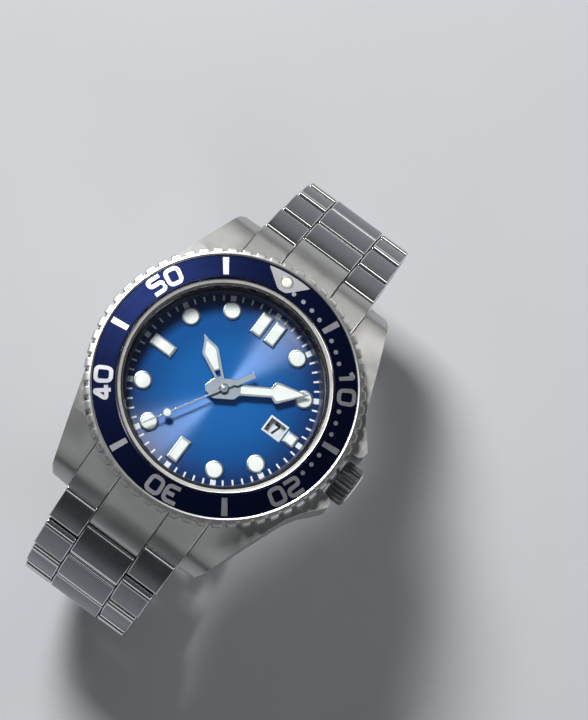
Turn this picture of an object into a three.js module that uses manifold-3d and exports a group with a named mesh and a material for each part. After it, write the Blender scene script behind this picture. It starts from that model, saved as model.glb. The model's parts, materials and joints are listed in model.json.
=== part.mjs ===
// A dive watch on a three-row bracelet, closed as it is worn.
// Millimetres. The origin is the centre of the case back's outer face, +X points at 3 o'clock (the crown),
// +Y at 12 o'clock and +Z out of the dial.
import * as THREE from 'three';
import { mergeVertices } from 'three/addons/utils/BufferGeometryUtils.js';
import Module from 'manifold-3d';

const wasm = await Module();
wasm.setup();

const TURN = 2 * Math.PI;
const HALF_TURN = Math.PI;
const DEGREE = Math.PI / 180;
const ROUND_STEPS = 36; // flats round a large circle

// ---- driving dimensions ----

// Case
const CASE_RADIUS = 20.3;
const CASE_BOTTOM = 0.9;
const CASE_TOP = 8.2;
const WAIST_RADIUS = 18.4; // between the lugs, under the bezel
const LUG_INNER_X = 10.1;
const LUG_TIP_Y = 23.9;
const LUG_CORNER = { x: 13.4, y: 23.0 };
const LUG_ROOT = { x: 18.2, y: 9.0 };
const NECK_INNER = 15.08;
const NECK_OUTER = 15.7;
const NECK_TOP = 11.0;
const CAVITY_RADIUS = 14.7;
const LEDGE_RADIUS = 14.1; // the crystal rests on this ledge
const LEDGE_BOTTOM = 8.8;
const LEDGE_TOP = 9.1;

// Case back
const BACK_RADIUS = 16.5;
const BACK_PLUG_RADIUS = 15.5;
const BACK_NOTCHES = 6;

// Crystal
const CRYSTAL_RADIUS = 14.74;
const CRYSTAL_BOTTOM = 9.15;
const CRYSTAL_TOP = 11.5;

// Bezel
const BEZEL_RADIUS = 20.5;
const BEZEL_INNER = 15.9;
const BEZEL_BOTTOM = 8.5;
const BEZEL_SHOULDER = 10.3; // the insert lies on this
const BEZEL_NOTCHES = 60;
const BEZEL_NOTCH_DEPTH = 0.55;
const BEZEL_TOP = 10.85;
const INSERT_OUTER = 19.2;
const BEZEL_REST = 360 / BEZEL_NOTCHES; // it rests one click anticlockwise of 12 o'clock
const PIP_RADIUS = 0.75;
const PIP_DISTANCE = 17.7;

// Dial and hands
const DIAL_RADIUS = 14.55;
const DIAL_BOTTOM = 6.6;
const DIAL_TOP = 7.0;
const MARKER_TOP = 7.35;
const MARKER_DISTANCE = 11.8;
const DATE_X = 9.4;
const HOUR_ANGLE = 304.8;
const MINUTE_ANGLE = 57.5;
const SECOND_ANGLE = 210;

// Crown
const STEM_Z = 4.4;
const CROWN_RADIUS = 3.1;
const CROWN_INNER_X = 20.6;
const CROWN_OUTER_X = 24.0;
const CROWN_RIDGES = 20;
const CROWN_RIDGE_DEPTH = 0.22;

// Movement
const PLATE_BOTTOM = 3.6;
const PLATE_TOP = 4.8;
const BRIDGE_BOTTOM = 2.3;
const BRIDGE_TOP = 2.65;
const SECONDS_ARBOR = 0.2;
const ARBOR_HOLE = 0.3;
const CANNON_RADIUS = 0.7;
const HOUR_PIPE_INNER = 0.8;
const HOUR_PIPE_OUTER = 1.1;

// Bracelet
const PITCH = 7;
const LINKS_PER_SIDE = 7;
const LINK_HALF_THICKNESS = 1.6;
const CENTRE_HALF_WIDTH = 4.25;
const ROW_GAP = 0.15;
const FIRST_LINK_WIDTH = 19.6;
const LINK_TAPER = 0.5;
const PIN_RADIUS = 0.6;
const PIN_HOLE = 0.78;
const END_REACH = 1.55; // how far an end runs past its pin
const END_STOP = 1.85; // where the neighbouring row begins
const END_ROUND = 0.5;
const FIRST_PIN = { y: 24.5, z: 1.0 };
const END_LINK_SLOPE = 45;
// How far each link slopes below the horizontal, from the case towards the clasp
const SLOPES_12 = [48, 52, 63, 82, 101, 119, 138];
const SLOPES_6 = [48, 66, 79, 95, 113, 131, 149];
const FIRST_CURLED_LINK = 3;
const SPRING_BAR = { y: 21.3, z: 2.6, radius: 0.75, tip: 0.45 };

// Clasp
const CLASP_SPAN = 40; // between the pins at its two ends
const CLASP_RISE = 3.4; // how far its middle bows out
const COVER_HALF_WIDTH = 8.9;
const COVER_WALL = 1.1;
const COVER_PLATE = { inner: 1.5, outer: 2.6 };
const BLADE_HALF_WIDTH = 5.3;
const HINGE_B_U = 36.4; // cover to outer blade
const HINGE_C_U = 4.6; // outer blade to inner blade
const HINGE_RADIUS = 1.2;
const KNUCKLE_REACH = 2.6; // half the width of the outer blade's knuckle
const BUTTON_U = 24;
const LATCH_HINGE_U = 15;
const COVER_START_U = 2.7;
const LATCH_KNUCKLE = { near: 5.0, far: 6.6, radius: 0.6 };
const CLASP_PIN = 0.45;

// ---- solids ----

function solidOf(geometry) {
  const bare = geometry.clone();
  bare.deleteAttribute('normal');
  bare.deleteAttribute('uv');
  const merged = mergeVertices(bare);
  const points = merged.attributes.position.array;
  const corners = merged.index.array;
  const faces = [];
  let volume = 0;
  for (let i = 0; i < corners.length; i += 3) {
    const [a, b, c] = [corners[i], corners[i + 1], corners[i + 2]];
    const hasArea = a !== b && b !== c && c !== a;
    if (hasArea) {
      faces.push([a, b, c]);
      const [p, q, r] = [a, b, c].map((k) => new THREE.Vector3().fromArray(points, 3 * k));
      volume += p.dot(q.cross(r));
    }
  }
  const outward = faces.map(([a, b, c]) => (volume > 0 ? [a, b, c] : [a, c, b]));
  return new wasm.Manifold(new wasm.Mesh({
    numProp: 3,
    vertProperties: new Float32Array(points),
    triVerts: new Uint32Array(outward.flat()),
  }));
}

function geometryOf(solid) {
  const { vertProperties, triVerts } = solid.getMesh();
  const geometry = new THREE.BufferGeometry();
  geometry.setAttribute('position', new THREE.BufferAttribute(new Float32Array(vertProperties), 3));
  geometry.setIndex(new THREE.BufferAttribute(new Uint32Array(triVerts), 1));
  geometry.computeVertexNormals();
  return geometry;
}

const joined = (...solids) => solids.reduce((whole, solid) => whole.add(solid));
const cut = (solid, ...tools) => tools.reduce((whole, tool) => whole.subtract(tool), solid);

// A block given by its lowest and highest corners
function block([x0, y0, z0], [x1, y1, z1]) {
  const geometry = new THREE.BoxGeometry(x1 - x0, y1 - y0, z1 - z0);
  return solidOf(geometry.translate((x0 + x1) / 2, (y0 + y1) / 2, (z0 + z1) / 2));
}

// A profile of [radius, z] points turned about Z
function turned(profile, segments = ROUND_STEPS) {
  const points = profile.map(([radius, z]) => new THREE.Vector2(radius, z));
  return solidOf(new THREE.LatheGeometry(points, segments).rotateX(HALF_TURN / 2));
}

// A ring with a rectangular section
function ring(inner, outer, bottom, top, segments = ROUND_STEPS) {
  return turned([[inner, bottom], [outer, bottom], [outer, top], [inner, top], [inner, bottom]], segments);
}

function disc(x, y, radius, bottom, top, segments = 24) {
  const geometry = new THREE.CylinderGeometry(radius, radius, top - bottom, segments);
  return solidOf(geometry.rotateX(HALF_TURN / 2).translate(x, y, (bottom + top) / 2));
}

// A round bar along X
function bar(x0, x1, y, z, radius, sides = 12) {
  const geometry = new THREE.CylinderGeometry(radius, radius, x1 - x0, sides);
  return solidOf(geometry.rotateZ(HALF_TURN / 2).translate((x0 + x1) / 2, y, z));
}

function arc(x, y, radius, start, end, steps) {
  return Array.from({ length: steps + 1 }, (_, i) => {
    const angle = (start + ((end - start) * i) / steps) * DEGREE;
    return [x + radius * Math.cos(angle), y + radius * Math.sin(angle)];
  });
}

// An outline in the XY plane, raised from bottom to top
function plate(outline, bottom, top) {
  const shape = new THREE.Shape(outline.map(([x, y]) => new THREE.Vector2(x, y)));
  const geometry = new THREE.ExtrudeGeometry(shape, { depth: top - bottom, bevelEnabled: false });
  return solidOf(geometry.translate(0, 0, bottom));
}

// An outline in the YZ plane, drawn out along X
function sideways(outline, x0, x1) {
  const shape = new THREE.Shape(outline.map(([y, z]) => new THREE.Vector2(y, z)));
  const geometry = new THREE.ExtrudeGeometry(shape, { depth: x1 - x0, bevelEnabled: false });
  return solidOf(geometry.rotateY(HALF_TURN / 2).rotateX(HALF_TURN / 2).translate(x0, 0, 0));
}

// The two ends along X of a feature on one side: sign is 1 or -1
const sided = (sign, near, far) => (sign > 0 ? [near, far] : [-far, -near]);

const mirroredX = (outline) => outline.map(([x, y]) => [-x, y]).reverse();
const mirroredY = (outline) => outline.map(([x, y]) => [x, -y]).reverse();
const turnedBy = (solid, degrees) => solid.rotate([0, 0, degrees]);

// A wheel outline with square-tipped teeth
function toothed(x, y, radius, teeth, depth) {
  const outline = [];
  for (let tooth = 0; tooth < teeth; tooth += 1) {
    const root = radius - depth;
    for (const [share, reach] of [[0, radius], [0.35, radius], [0.5, root], [0.85, root]]) {
      const angle = ((tooth + share) / teeth) * TURN;
      outline.push([x + reach * Math.cos(angle), y + reach * Math.sin(angle)]);
    }
  }
  return outline;
}

// A wheel outline with pointed teeth
function gear(x, y, radius, teeth, depth) {
  const outline = [];
  for (let tooth = 0; tooth < teeth; tooth += 1) {
    for (const [share, reach] of [[0, radius], [0.5, radius - depth]]) {
      const angle = ((tooth + share) / teeth) * TURN;
      outline.push([x + reach * Math.cos(angle), y + reach * Math.sin(angle)]);
    }
  }
  return outline;
}

// ---- looks ----

const look = (color, roughness, metalness, extra = {}) => (
  new THREE.MeshStandardMaterial({ color, roughness, metalness, ...extra })
);
const LOOKS = {
  steel: look('#b9bcbf', 0.35, 1),
  polished: look('#d5d7d9', 0.12, 1),
  insert: look('#0a1a4d', 0.25, 0.6),
  dial: look('#123a86', 0.3, 0.5),
  lume: look('#e9efe0', 0.7, 0),
  white: look('#f2f2ee', 0.5, 0),
  glass: look('#eef4f8', 0.02, 0, { transparent: true, opacity: 0.2 }),
  rubber: look('#17181a', 0.85, 0),
  black: look('#15171c', 0.4, 0),
  brass: look('#b89a55', 0.35, 1),
  copper: look('#b5653a', 0.4, 1),
  nylon: look('#d8d8d2', 0.6, 0),
};

const watch = new THREE.Group();

function add(name, solid, material, parent = watch) {
  const mesh = new THREE.Mesh(geometryOf(solid), material);
  mesh.name = name;
  parent.add(mesh);
  return mesh;
}

// ---- case ----

function casePlan() {
  const rootAngle = Math.atan2(LUG_ROOT.y, LUG_ROOT.x) / DEGREE;
  const waistAngle = Math.acos(LUG_INNER_X / WAIST_RADIUS) / DEGREE;
  const lug = [[LUG_CORNER.x, LUG_CORNER.y], [LUG_INNER_X, LUG_TIP_Y]];
  const waist = arc(0, 0, WAIST_RADIUS, waistAngle, 180 - waistAngle, 10);
  const guard = [[CASE_RADIUS, 3.7], [21.7, 3.7], [22.3, 4.2], [22.3, 5.1], [19.3, 7.5]];
  const upper = [
    ...guard, [LUG_ROOT.x, LUG_ROOT.y], ...lug, ...waist, ...mirroredX(lug),
    ...arc(0, 0, CASE_RADIUS, 180 - rootAngle, 180, 5),
  ];
  return [...upper, ...mirroredY(upper.slice(0, -1))];
}

// The case seen from the side: flat over the movement, with the lugs bending down to their tips
function caseSide() {
  const half = [
    [15.5, CASE_TOP], [18.5, 7.1], [20.6, 5.7], [22.3, 3.9], [LUG_TIP_Y, 1.8],
    [LUG_TIP_Y, 0.3], [22.9, -0.3], [19.5, 0.2], [17.2, CASE_BOTTOM],
  ];
  return [...half, ...half.map(([y, z]) => [-y, z]).reverse()];
}

function makeCase() {
  const body = plate(casePlan(), -1, CASE_TOP + 1).intersect(sideways(caseSide(), -30, 30));
  const neck = ring(NECK_INNER, NECK_OUTER, CASE_TOP - 1, NECK_TOP);
  const bore = turned([
    [0, 0], [16.05, 0], [16.05, 1.5], [15.6, 1.5], [15.6, 2.1], [CAVITY_RADIUS, 2.1],
    [CAVITY_RADIUS, LEDGE_BOTTOM], [LEDGE_RADIUS, LEDGE_BOTTOM], [LEDGE_RADIUS, LEDGE_TOP],
    [NECK_INNER, LEDGE_TOP], [NECK_INNER, NECK_TOP + 1], [0, NECK_TOP + 1],
  ]);
  const wireGroove = ring(15.4, 16.2, 9.0, 9.5);
  const springRecess = plate([...arc(0, 0, 18.0, 60, 120, 8), ...arc(0, 0, 16.1, 120, 60, 8)], 7.6, 9);
  const tubeHole = bar(14, 21, 0, STEM_Z, 1.3);
  const barHoles = [1, -1].flatMap((side) => [1, -1].map((sign) => (
    bar(...sided(sign, LUG_INNER_X - 0.5, LUG_INNER_X + 1.5), side * SPRING_BAR.y, SPRING_BAR.z, 0.6, 10)
  )));
  return cut(joined(body, neck), bore, wireGroove, springRecess, tubeHole, ...barHoles);
}

function makeCaseBack() {
  const lid = turned([
    [0, 0], [16.1, 0], [BACK_RADIUS, 0.3], [BACK_RADIUS, 0.86], [BACK_PLUG_RADIUS, 0.86],
    [BACK_PLUG_RADIUS, 1.95], [14.9, 1.95], [14.9, 0.95], [0, 0.95],
  ]);
  const notches = Array.from({ length: BACK_NOTCHES }, (_, i) => (
    turnedBy(block([15.4, -1.1, -0.5], [17, 1.1, 0.45]), (i + 0.5) * (360 / BACK_NOTCHES))
  ));
  return cut(lid, ...notches);
}

function roundSection(radius, z, size) {
  return arc(radius, z, size, 0, 360, 5);
}

add('case', makeCase(), LOOKS.steel);
add('case_back', makeCaseBack(), LOOKS.steel);
add('case_back_gasket', turned(roundSection(15.78, 1.18, 0.2)), LOOKS.rubber);
add('crystal', turned([
  [0, CRYSTAL_BOTTOM], [CRYSTAL_RADIUS, CRYSTAL_BOTTOM], [CRYSTAL_RADIUS, 11.15],
  [CRYSTAL_RADIUS - 0.35, CRYSTAL_TOP], [0, CRYSTAL_TOP],
]), LOOKS.glass);
add('crystal_gasket', ring(CRYSTAL_RADIUS + 0.04, NECK_INNER - 0.04, 9.2, 10.9), LOOKS.nylon);
add('rehaut_ring', turned([
  [DIAL_RADIUS, 7.05], [DIAL_RADIUS, 8.7], [14.4, 8.7], [14.0, 7.05], [DIAL_RADIUS, 7.05],
]), LOOKS.black);

// ---- bezel ----

function makeBezelRing() {
  const rim = toothed(0, 0, BEZEL_RADIUS, BEZEL_NOTCHES, BEZEL_NOTCH_DEPTH);
  const body = plate(rim, BEZEL_BOTTOM, BEZEL_TOP);
  const recess = INSERT_OUTER + 0.05;
  const hollow = turned([
    [0, 8], [BEZEL_INNER, 8], [BEZEL_INNER, 8.95], [16.3, 8.95], [16.3, 9.6], [BEZEL_INNER, 9.6],
    [BEZEL_INNER, BEZEL_SHOULDER], [recess, BEZEL_SHOULDER], [recess, 12], [0, 12],
  ]);
  return turnedBy(cut(body, hollow), BEZEL_REST);
}

function makeBezelInsert() {
  const body = turned([
    [15.95, BEZEL_SHOULDER + 0.05], [INSERT_OUTER, BEZEL_SHOULDER + 0.05], [INSERT_OUTER, 10.8],
    [15.95, 11.0], [15.95, BEZEL_SHOULDER + 0.05],
  ]);
  return turnedBy(cut(body, disc(0, PIP_DISTANCE, PIP_RADIUS + 0.05, 10, 12, 12)), BEZEL_REST);
}

function makeRetainingRing() {
  const gap = 12;
  const outline = [...arc(0, 0, 16.15, gap, 360 - gap, 24), ...arc(0, 0, 15.55, 360 - gap, gap, 24)];
  return plate(outline, 9.1, 9.4);
}

add('bezel_ring', makeBezelRing(), LOOKS.steel);
add('bezel_insert', makeBezelInsert(), LOOKS.insert);
add('bezel_lume_pip', turnedBy(turned([
  [0, 10.4], [PIP_RADIUS, 10.4], [PIP_RADIUS, 11.0], [PIP_RADIUS / 2, 11.15], [0, 11.2],
], 12).translate([0, PIP_DISTANCE, 0]), BEZEL_REST), LOOKS.lume);
add('bezel_click_spring', plate([...arc(0, 0, 17.7, 64, 116, 8), ...arc(0, 0, 16.4, 116, 64, 8)], 7.7, 8.3),
  LOOKS.steel);
add('bezel_retaining_ring', makeRetainingRing(), LOOKS.steel);

// ---- dial and hands ----

const WIDE_MARKERS = [
  { angle: 90, distance: 12.25, width: 1.9, length: 1.9 },
  { angle: 180, distance: 10.9, width: 1.95, length: 4.0 },
  { angle: 270, distance: 10.9, width: 1.95, length: 4.0 },
];
const ROUND_MARKER_HOURS = [1, 2, 4, 5, 7, 8, 10, 11];

function makeDial() {
  let dial = ring(1.35, DIAL_RADIUS, DIAL_BOTTOM, DIAL_TOP);
  dial = dial.subtract(block([DATE_X - 1.25, -1.0, 6], [DATE_X + 1.25, 1.0, 8]));
  const sunk = DIAL_TOP - 0.1;
  for (const hour of ROUND_MARKER_HOURS) {
    const angle = (90 - hour * 30) * DEGREE;
    const [x, y] = [MARKER_DISTANCE * Math.cos(angle), MARKER_DISTANCE * Math.sin(angle)];
    dial = dial.add(disc(x, y, 1.3, sunk, MARKER_TOP, 12));
  }
  for (const { angle, distance, width, length } of WIDE_MARKERS) {
    const marker = block(
      [-width / 2, distance - length / 2, sunk],
      [width / 2, distance + length / 2, MARKER_TOP],
    );
    dial = dial.add(turnedBy(marker, -angle));
  }
  for (const side of [-1, 1]) {
    dial = dial.add(block([side * 1.2 - 0.95, 9.25, sunk], [side * 1.2 + 0.95, 12.95, MARKER_TOP]));
  }
  const frame = cut(
    block([DATE_X - 1.57, -1.3, sunk], [DATE_X + 1.57, 1.3, 7.25]),
    block([DATE_X - 1.25, -1.0, 6], [DATE_X + 1.25, 1.0, 8]),
  );
  return dial.add(frame);
}

function makeHand(outline, hubRadius, hole, bottom, top, angle) {
  const blade = plate([...outline, ...mirroredX(outline)], bottom, top);
  const hub = disc(0, 0, hubRadius, bottom, top, 20);
  return turnedBy(cut(joined(blade, hub), disc(0, 0, hole, bottom - 1, top + 1, 16)), -angle);
}

add('dial', makeDial(), LOOKS.dial);
add('date_disc', cut(
  plate(arc(0, 0, 11.2, 0, 350, 35), 5.7, 5.95),
  plate(gear(0, 0, 8.4, 31, 0.5), 5, 7),
), LOOKS.white);
add('solar_cell', cut(
  ring(1.5, 13.6, 6.2, 6.5, 30),
  block([DATE_X - 1.6, -1.35, 6], [DATE_X + 1.6, 1.35, 7]),
), LOOKS.black);
add('hour_hand', makeHand(
  [[0.5, -1.3], [0.55, 1.5], [1.2, 5.9], [0.3, 7.8], [0, 8.6]],
  1.5, HOUR_PIPE_OUTER + 0.03, 7.55, 7.75, HOUR_ANGLE,
), LOOKS.steel);
add('minute_hand', makeHand(
  [[0.5, -2.7], [1.5, -1.6], [1.5, 1.5], [0.8, 2.3], [0.75, 7.1], [1.55, 7.7], [0, 12.4]],
  1.15, CANNON_RADIUS + 0.03, 8.0, 8.2, MINUTE_ANGLE,
), LOOKS.steel);
add('second_hand', makeHand(
  [[0.45, -4.9], [0.45, -1.8], [0.12, -1.6], [0.12, 8.2], [0.4, 8.5], [0.4, 9.5], [0.1, 9.8], [0.06, 13.0]],
  0.6, SECONDS_ARBOR + 0.03, 8.45, 8.6, SECOND_ANGLE,
), LOOKS.steel);

// ---- movement ----

const THIRD_WHEEL = { distance: 3.75, angle: -35 };
const FIFTH_WHEEL = { distance: 3.35, angle: 80 };
const MINUTE_WHEEL = { distance: 2.6, angle: 180 };
const POWER_CELL = { x: -7.2, y: -5.6, radius: 3.4 };
const COIL_Y = 9.0;
const BRIDGE_PILLARS = [[7.2, -4.4], [5.0, 5.0]];

const placeOf = ({ distance, angle }) => (
  [distance * Math.cos(angle * DEGREE), distance * Math.sin(angle * DEGREE)]
);
const [THIRD_X, THIRD_Y] = placeOf(THIRD_WHEEL);
const [FIFTH_X, FIFTH_Y] = placeOf(FIFTH_WHEEL);
const [MINUTE_X, MINUTE_Y] = placeOf(MINUTE_WHEEL);
const ROTOR_X = FIFTH_X + 2.7 * Math.cos(150 * DEGREE);
const ROTOR_Y = FIFTH_Y + 2.7 * Math.sin(150 * DEGREE);

function makeMainPlate() {
  const holes = [
    disc(0, 0, CANNON_RADIUS + 0.1, 3, 5, 16),
    disc(MINUTE_X, MINUTE_Y, ARBOR_HOLE, 3, 5, 8),
    disc(POWER_CELL.x, POWER_CELL.y, POWER_CELL.radius + 0.15, 3, 5, 24),
    block([7.2, -1.6, 3], [14, 1.6, 5]),
    block([-5.6, COIL_Y - 1.3, 3], [4.6, COIL_Y + 1.3, 5]),
    ...[[THIRD_X, THIRD_Y], [FIFTH_X, FIFTH_Y], [ROTOR_X, ROTOR_Y]].map(([x, y]) => (
      disc(x, y, ARBOR_HOLE, 3, 5, 8)
    )),
  ];
  return cut(disc(0, 0, 13.2, PLATE_BOTTOM, PLATE_TOP, 30), ...holes);
}

function makeTrainBridge() {
  const holes = [[0, 0], [THIRD_X, THIRD_Y], [FIFTH_X, FIFTH_Y], [ROTOR_X, ROTOR_Y]].map(([x, y]) => (
    disc(x, y, ARBOR_HOLE, 2, 3, 8)
  ));
  const outline = [
    [-4.2, 1.0], [-2.0, -3.6], [5.0, -5.8], [7.8, -4.8], [7.4, -0.6], [3.6, 6.0], [-3.4, 6.6],
  ];
  const pillars = BRIDGE_PILLARS.map(([x, y]) => (
    disc(x, y, 0.7, BRIDGE_TOP - 0.1, PLATE_BOTTOM - 0.05, 12)
  ));
  const feet = BRIDGE_PILLARS.map(([x, y]) => disc(x, y, 1.0, BRIDGE_BOTTOM, BRIDGE_TOP, 12));
  return cut(joined(plate(outline, BRIDGE_BOTTOM, BRIDGE_TOP), ...feet, ...pillars), ...holes);
}

// A wheel and its pinion on one arbor
function makeTrainWheel(x, y, wheel, pinion, bottom, top) {
  return joined(
    plate(gear(x, y, wheel.radius, wheel.teeth, 0.2), wheel.bottom, wheel.top),
    plate(gear(x, y, pinion.radius, 6, 0.12), pinion.bottom, pinion.top),
    disc(x, y, SECONDS_ARBOR, bottom, top, 8),
  );
}

add('movement_holder', cut(
  ring(13.45, 14.5, 2.15, 6.1),
  block([12, -1.6, 3.2], [15, 1.6, 7]),
), LOOKS.nylon);
add('main_plate', makeMainPlate(), LOOKS.brass);
add('train_bridge', makeTrainBridge(), LOOKS.steel);
add('power_cell', turned([
  [0, 2.4], [3.2, 2.4], [POWER_CELL.radius, 2.6], [POWER_CELL.radius, 4.3], [2.9, 4.6], [0, 4.6],
], 24).translate([POWER_CELL.x, POWER_CELL.y, 0]), LOOKS.polished);
add('motor_coil', joined(
  bar(-4.2, 3.2, COIL_Y, 4.3, 0.95),
  block([-5.2, COIL_Y - 0.8, 4.1], [4.2, COIL_Y + 0.8, 4.5]),
), LOOKS.copper);
add('motor_stator', cut(
  plate([
    [-5.2, 9.8], [-5.2, 5.4], [-3.4, 3.6], [0.2, 3.6], [1.2, 6.6], [4.2, 7.4], [4.2, 9.8],
    [2.6, 9.8], [2.4, 8.4], [-3.4, 8.4], [-3.6, 9.8],
  ], 2.72, 2.92),
  disc(ROTOR_X, ROTOR_Y, 0.95, 2, 4, 16),
  disc(FIFTH_X, FIFTH_Y, 1.0, 2, 4, 16),
), LOOKS.steel);
add('motor_rotor', joined(
  disc(ROTOR_X, ROTOR_Y, 0.65, 2.75, 3.3, 10),
  plate(gear(ROTOR_X, ROTOR_Y, 0.45, 6, 0.12), 3.2, 3.5),
  disc(ROTOR_X, ROTOR_Y, SECONDS_ARBOR, 2.35, 3.9, 8),
), LOOKS.black);
add('fifth_wheel', makeTrainWheel(
  FIFTH_X, FIFTH_Y, { radius: 2.15, teeth: 14, bottom: 3.37, top: 3.5 },
  { radius: 0.6, bottom: 2.8, top: 2.95 }, 2.35, 3.9,
), LOOKS.brass);
add('third_wheel', makeTrainWheel(
  THIRD_X, THIRD_Y, { radius: 3.15, teeth: 18, bottom: 2.99, top: 3.1 },
  { radius: 0.65, bottom: 3.05, top: 3.34 }, 2.35, 3.9,
), LOOKS.brass);
add('seconds_wheel', joined(
  plate(gear(0, 0, 2.68, 18, 0.2), 2.8, 2.94),
  plate(gear(0, 0, 0.5, 6, 0.12), 2.9, 3.1),
  disc(0, 0, SECONDS_ARBOR, 2.35, 8.7, 8),
), LOOKS.brass);
add('centre_wheel', cut(
  joined(
    plate(gear(0, 0, 3.0, 18, 0.2), 3.15, 3.3),
    disc(0, 0, CANNON_RADIUS, 3.2, 8.25, 16),
    plate(gear(0, 0, 0.9, 8, 0.16), 4.9, 5.3),
  ),
  disc(0, 0, ARBOR_HOLE, 3, 9, 8),
), LOOKS.brass);
add('minute_wheel', joined(
  plate(gear(MINUTE_X, MINUTE_Y, 1.6, 14, 0.2), 4.95, 5.1),
  plate(gear(MINUTE_X, MINUTE_Y, 0.45, 6, 0.12), 5.05, 5.6),
  disc(MINUTE_X, MINUTE_Y, SECONDS_ARBOR, 4.0, 5.6, 8),
), LOOKS.nylon);
add('hour_wheel', cut(
  joined(
    plate(gear(0, 0, 2.1, 16, 0.2), 5.4, 5.6),
    disc(0, 0, HOUR_PIPE_OUTER, 5.4, 7.8, 16),
  ),
  disc(0, 0, HOUR_PIPE_INNER, 5, 9, 16),
), LOOKS.brass);

// ---- crown ----

function makeCrown() {
  const crest = CROWN_RADIUS;
  const root = CROWN_RADIUS - CROWN_RIDGE_DEPTH;
  const outline = [];
  for (let i = 0; i < CROWN_RIDGES; i += 1) {
    for (const [share, reach] of [[0, crest], [0.5, crest], [0.62, root], [0.88, root]]) {
      const angle = ((i + share) / CROWN_RIDGES) * TURN;
      outline.push([reach * Math.cos(angle), reach * Math.sin(angle)]);
    }
  }
  const grip = plate(outline, CROWN_INNER_X + 0.2, CROWN_OUTER_X - 0.45);
  const length = CROWN_OUTER_X;
  const core = turned([
    [0, CROWN_INNER_X + 0.15], [2.7, CROWN_INNER_X], [2.85, CROWN_INNER_X + 0.25], [2.85, length - 0.5],
    [2.6, length - 0.1], [2.1, length], [0, length],
  ], 24);
  const socket = turned([[0, 20], [1.75, 20], [1.75, 22.6], [0, 22.6]], 20);
  const upright = cut(joined(grip, core), socket);
  return upright.rotate([0, 90, 0]).translate([0, 0, STEM_Z]);
}

// [radius, distance along X] points turned about the stem's axis
const onStem = (profile, segments) => (
  turned(profile, segments).rotate([0, 90, 0]).translate([0, 0, STEM_Z])
);

add('crown', makeCrown(), LOOKS.steel);
add('stem', onStem([
  [0, 8.2], [0.45, 8.2], [0.45, 8.9], [0.28, 8.9], [0.28, 9.5], [0.45, 9.5], [0.45, 22.57], [0, 22.57],
], 12), LOOKS.steel);
add('crown_tube', onStem([
  [0.6, 14.9], [1.2, 14.9], [1.2, 20.3], [1.25, 20.3], [1.25, 20.9], [1.0, 20.9], [0.6, 20.9], [0.6, 14.9],
], 16), LOOKS.steel);
add('crown_gasket', onStem([
  [0.62, 21.2], [1.6, 21.2], [1.6, 21.7], [0.62, 21.7], [0.62, 21.2],
], 16), LOOKS.rubber);
add('setting_lever', joined(
  plate([[7.9, 2.6], [8.7, 2.6], [9.1, 1.2], [9.05, 0], [8.95, -0.2], [8.75, 0], [8.5, 1.2]], 5.0, 5.25),
  disc(8.3, 2.7, 0.6, 5.0, 5.25, 12),
), LOOKS.steel);

// ---- bracelet ----

// A row seen from the side. Both ends run END_REACH past a pin: round on the wrist side, and nearly square
// outside. The stop faces are upright.
function rowOutline(start, end, roundStart, roundEnd) {
  const half = LINK_HALF_THICKNESS;
  const outline = [];
  if (roundStart) {
    outline.push(...arc(start + END_REACH, 0, END_REACH, 270, 180, 3).map(([y, z]) => [y, z - 0.05]));
    outline.push(...arc(start + END_ROUND, half - END_ROUND, END_ROUND, 180, 90, 2));
  } else {
    outline.push([start + 0.3, -half], [start, -half + 0.3], [start, half - 0.25], [start + 0.25, half]);
  }
  if (roundEnd) {
    outline.push(...arc(end - END_ROUND, half - END_ROUND, END_ROUND, 90, 0, 2));
    outline.push(...arc(end - END_REACH, 0, END_REACH, 0, -90, 3).map(([y, z]) => [y, z - 0.05]));
  } else {
    outline.push([end - 0.25, half], [end, half - 0.25], [end, -half + 0.3], [end - 0.3, -half]);
  }
  return outline.reverse();
}

function makeLink(width) {
  const side = rowOutline(-END_REACH, PITCH - END_STOP, true, false);
  const centre = rowOutline(END_STOP, PITCH + END_REACH, false, true);
  const inner = CENTRE_HALF_WIDTH + ROW_GAP;
  const rows = [
    sideways(side, inner, width / 2),
    sideways(side, -width / 2, -inner),
    sideways(centre, -CENTRE_HALF_WIDTH, CENTRE_HALF_WIDTH),
  ];
  const bridge = block([-inner - 1, 2.6, -0.7], [inner + 1, 4.4, 0.7]);
  const pin = bar(-inner - 1, inner + 1, 0, 0, PIN_RADIUS, 8);
  const hole = bar(-CENTRE_HALF_WIDTH - 1, CENTRE_HALF_WIDTH + 1, PITCH, 0, PIN_HOLE, 8);
  return cut(joined(...rows, bridge, pin), hole);
}

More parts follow.
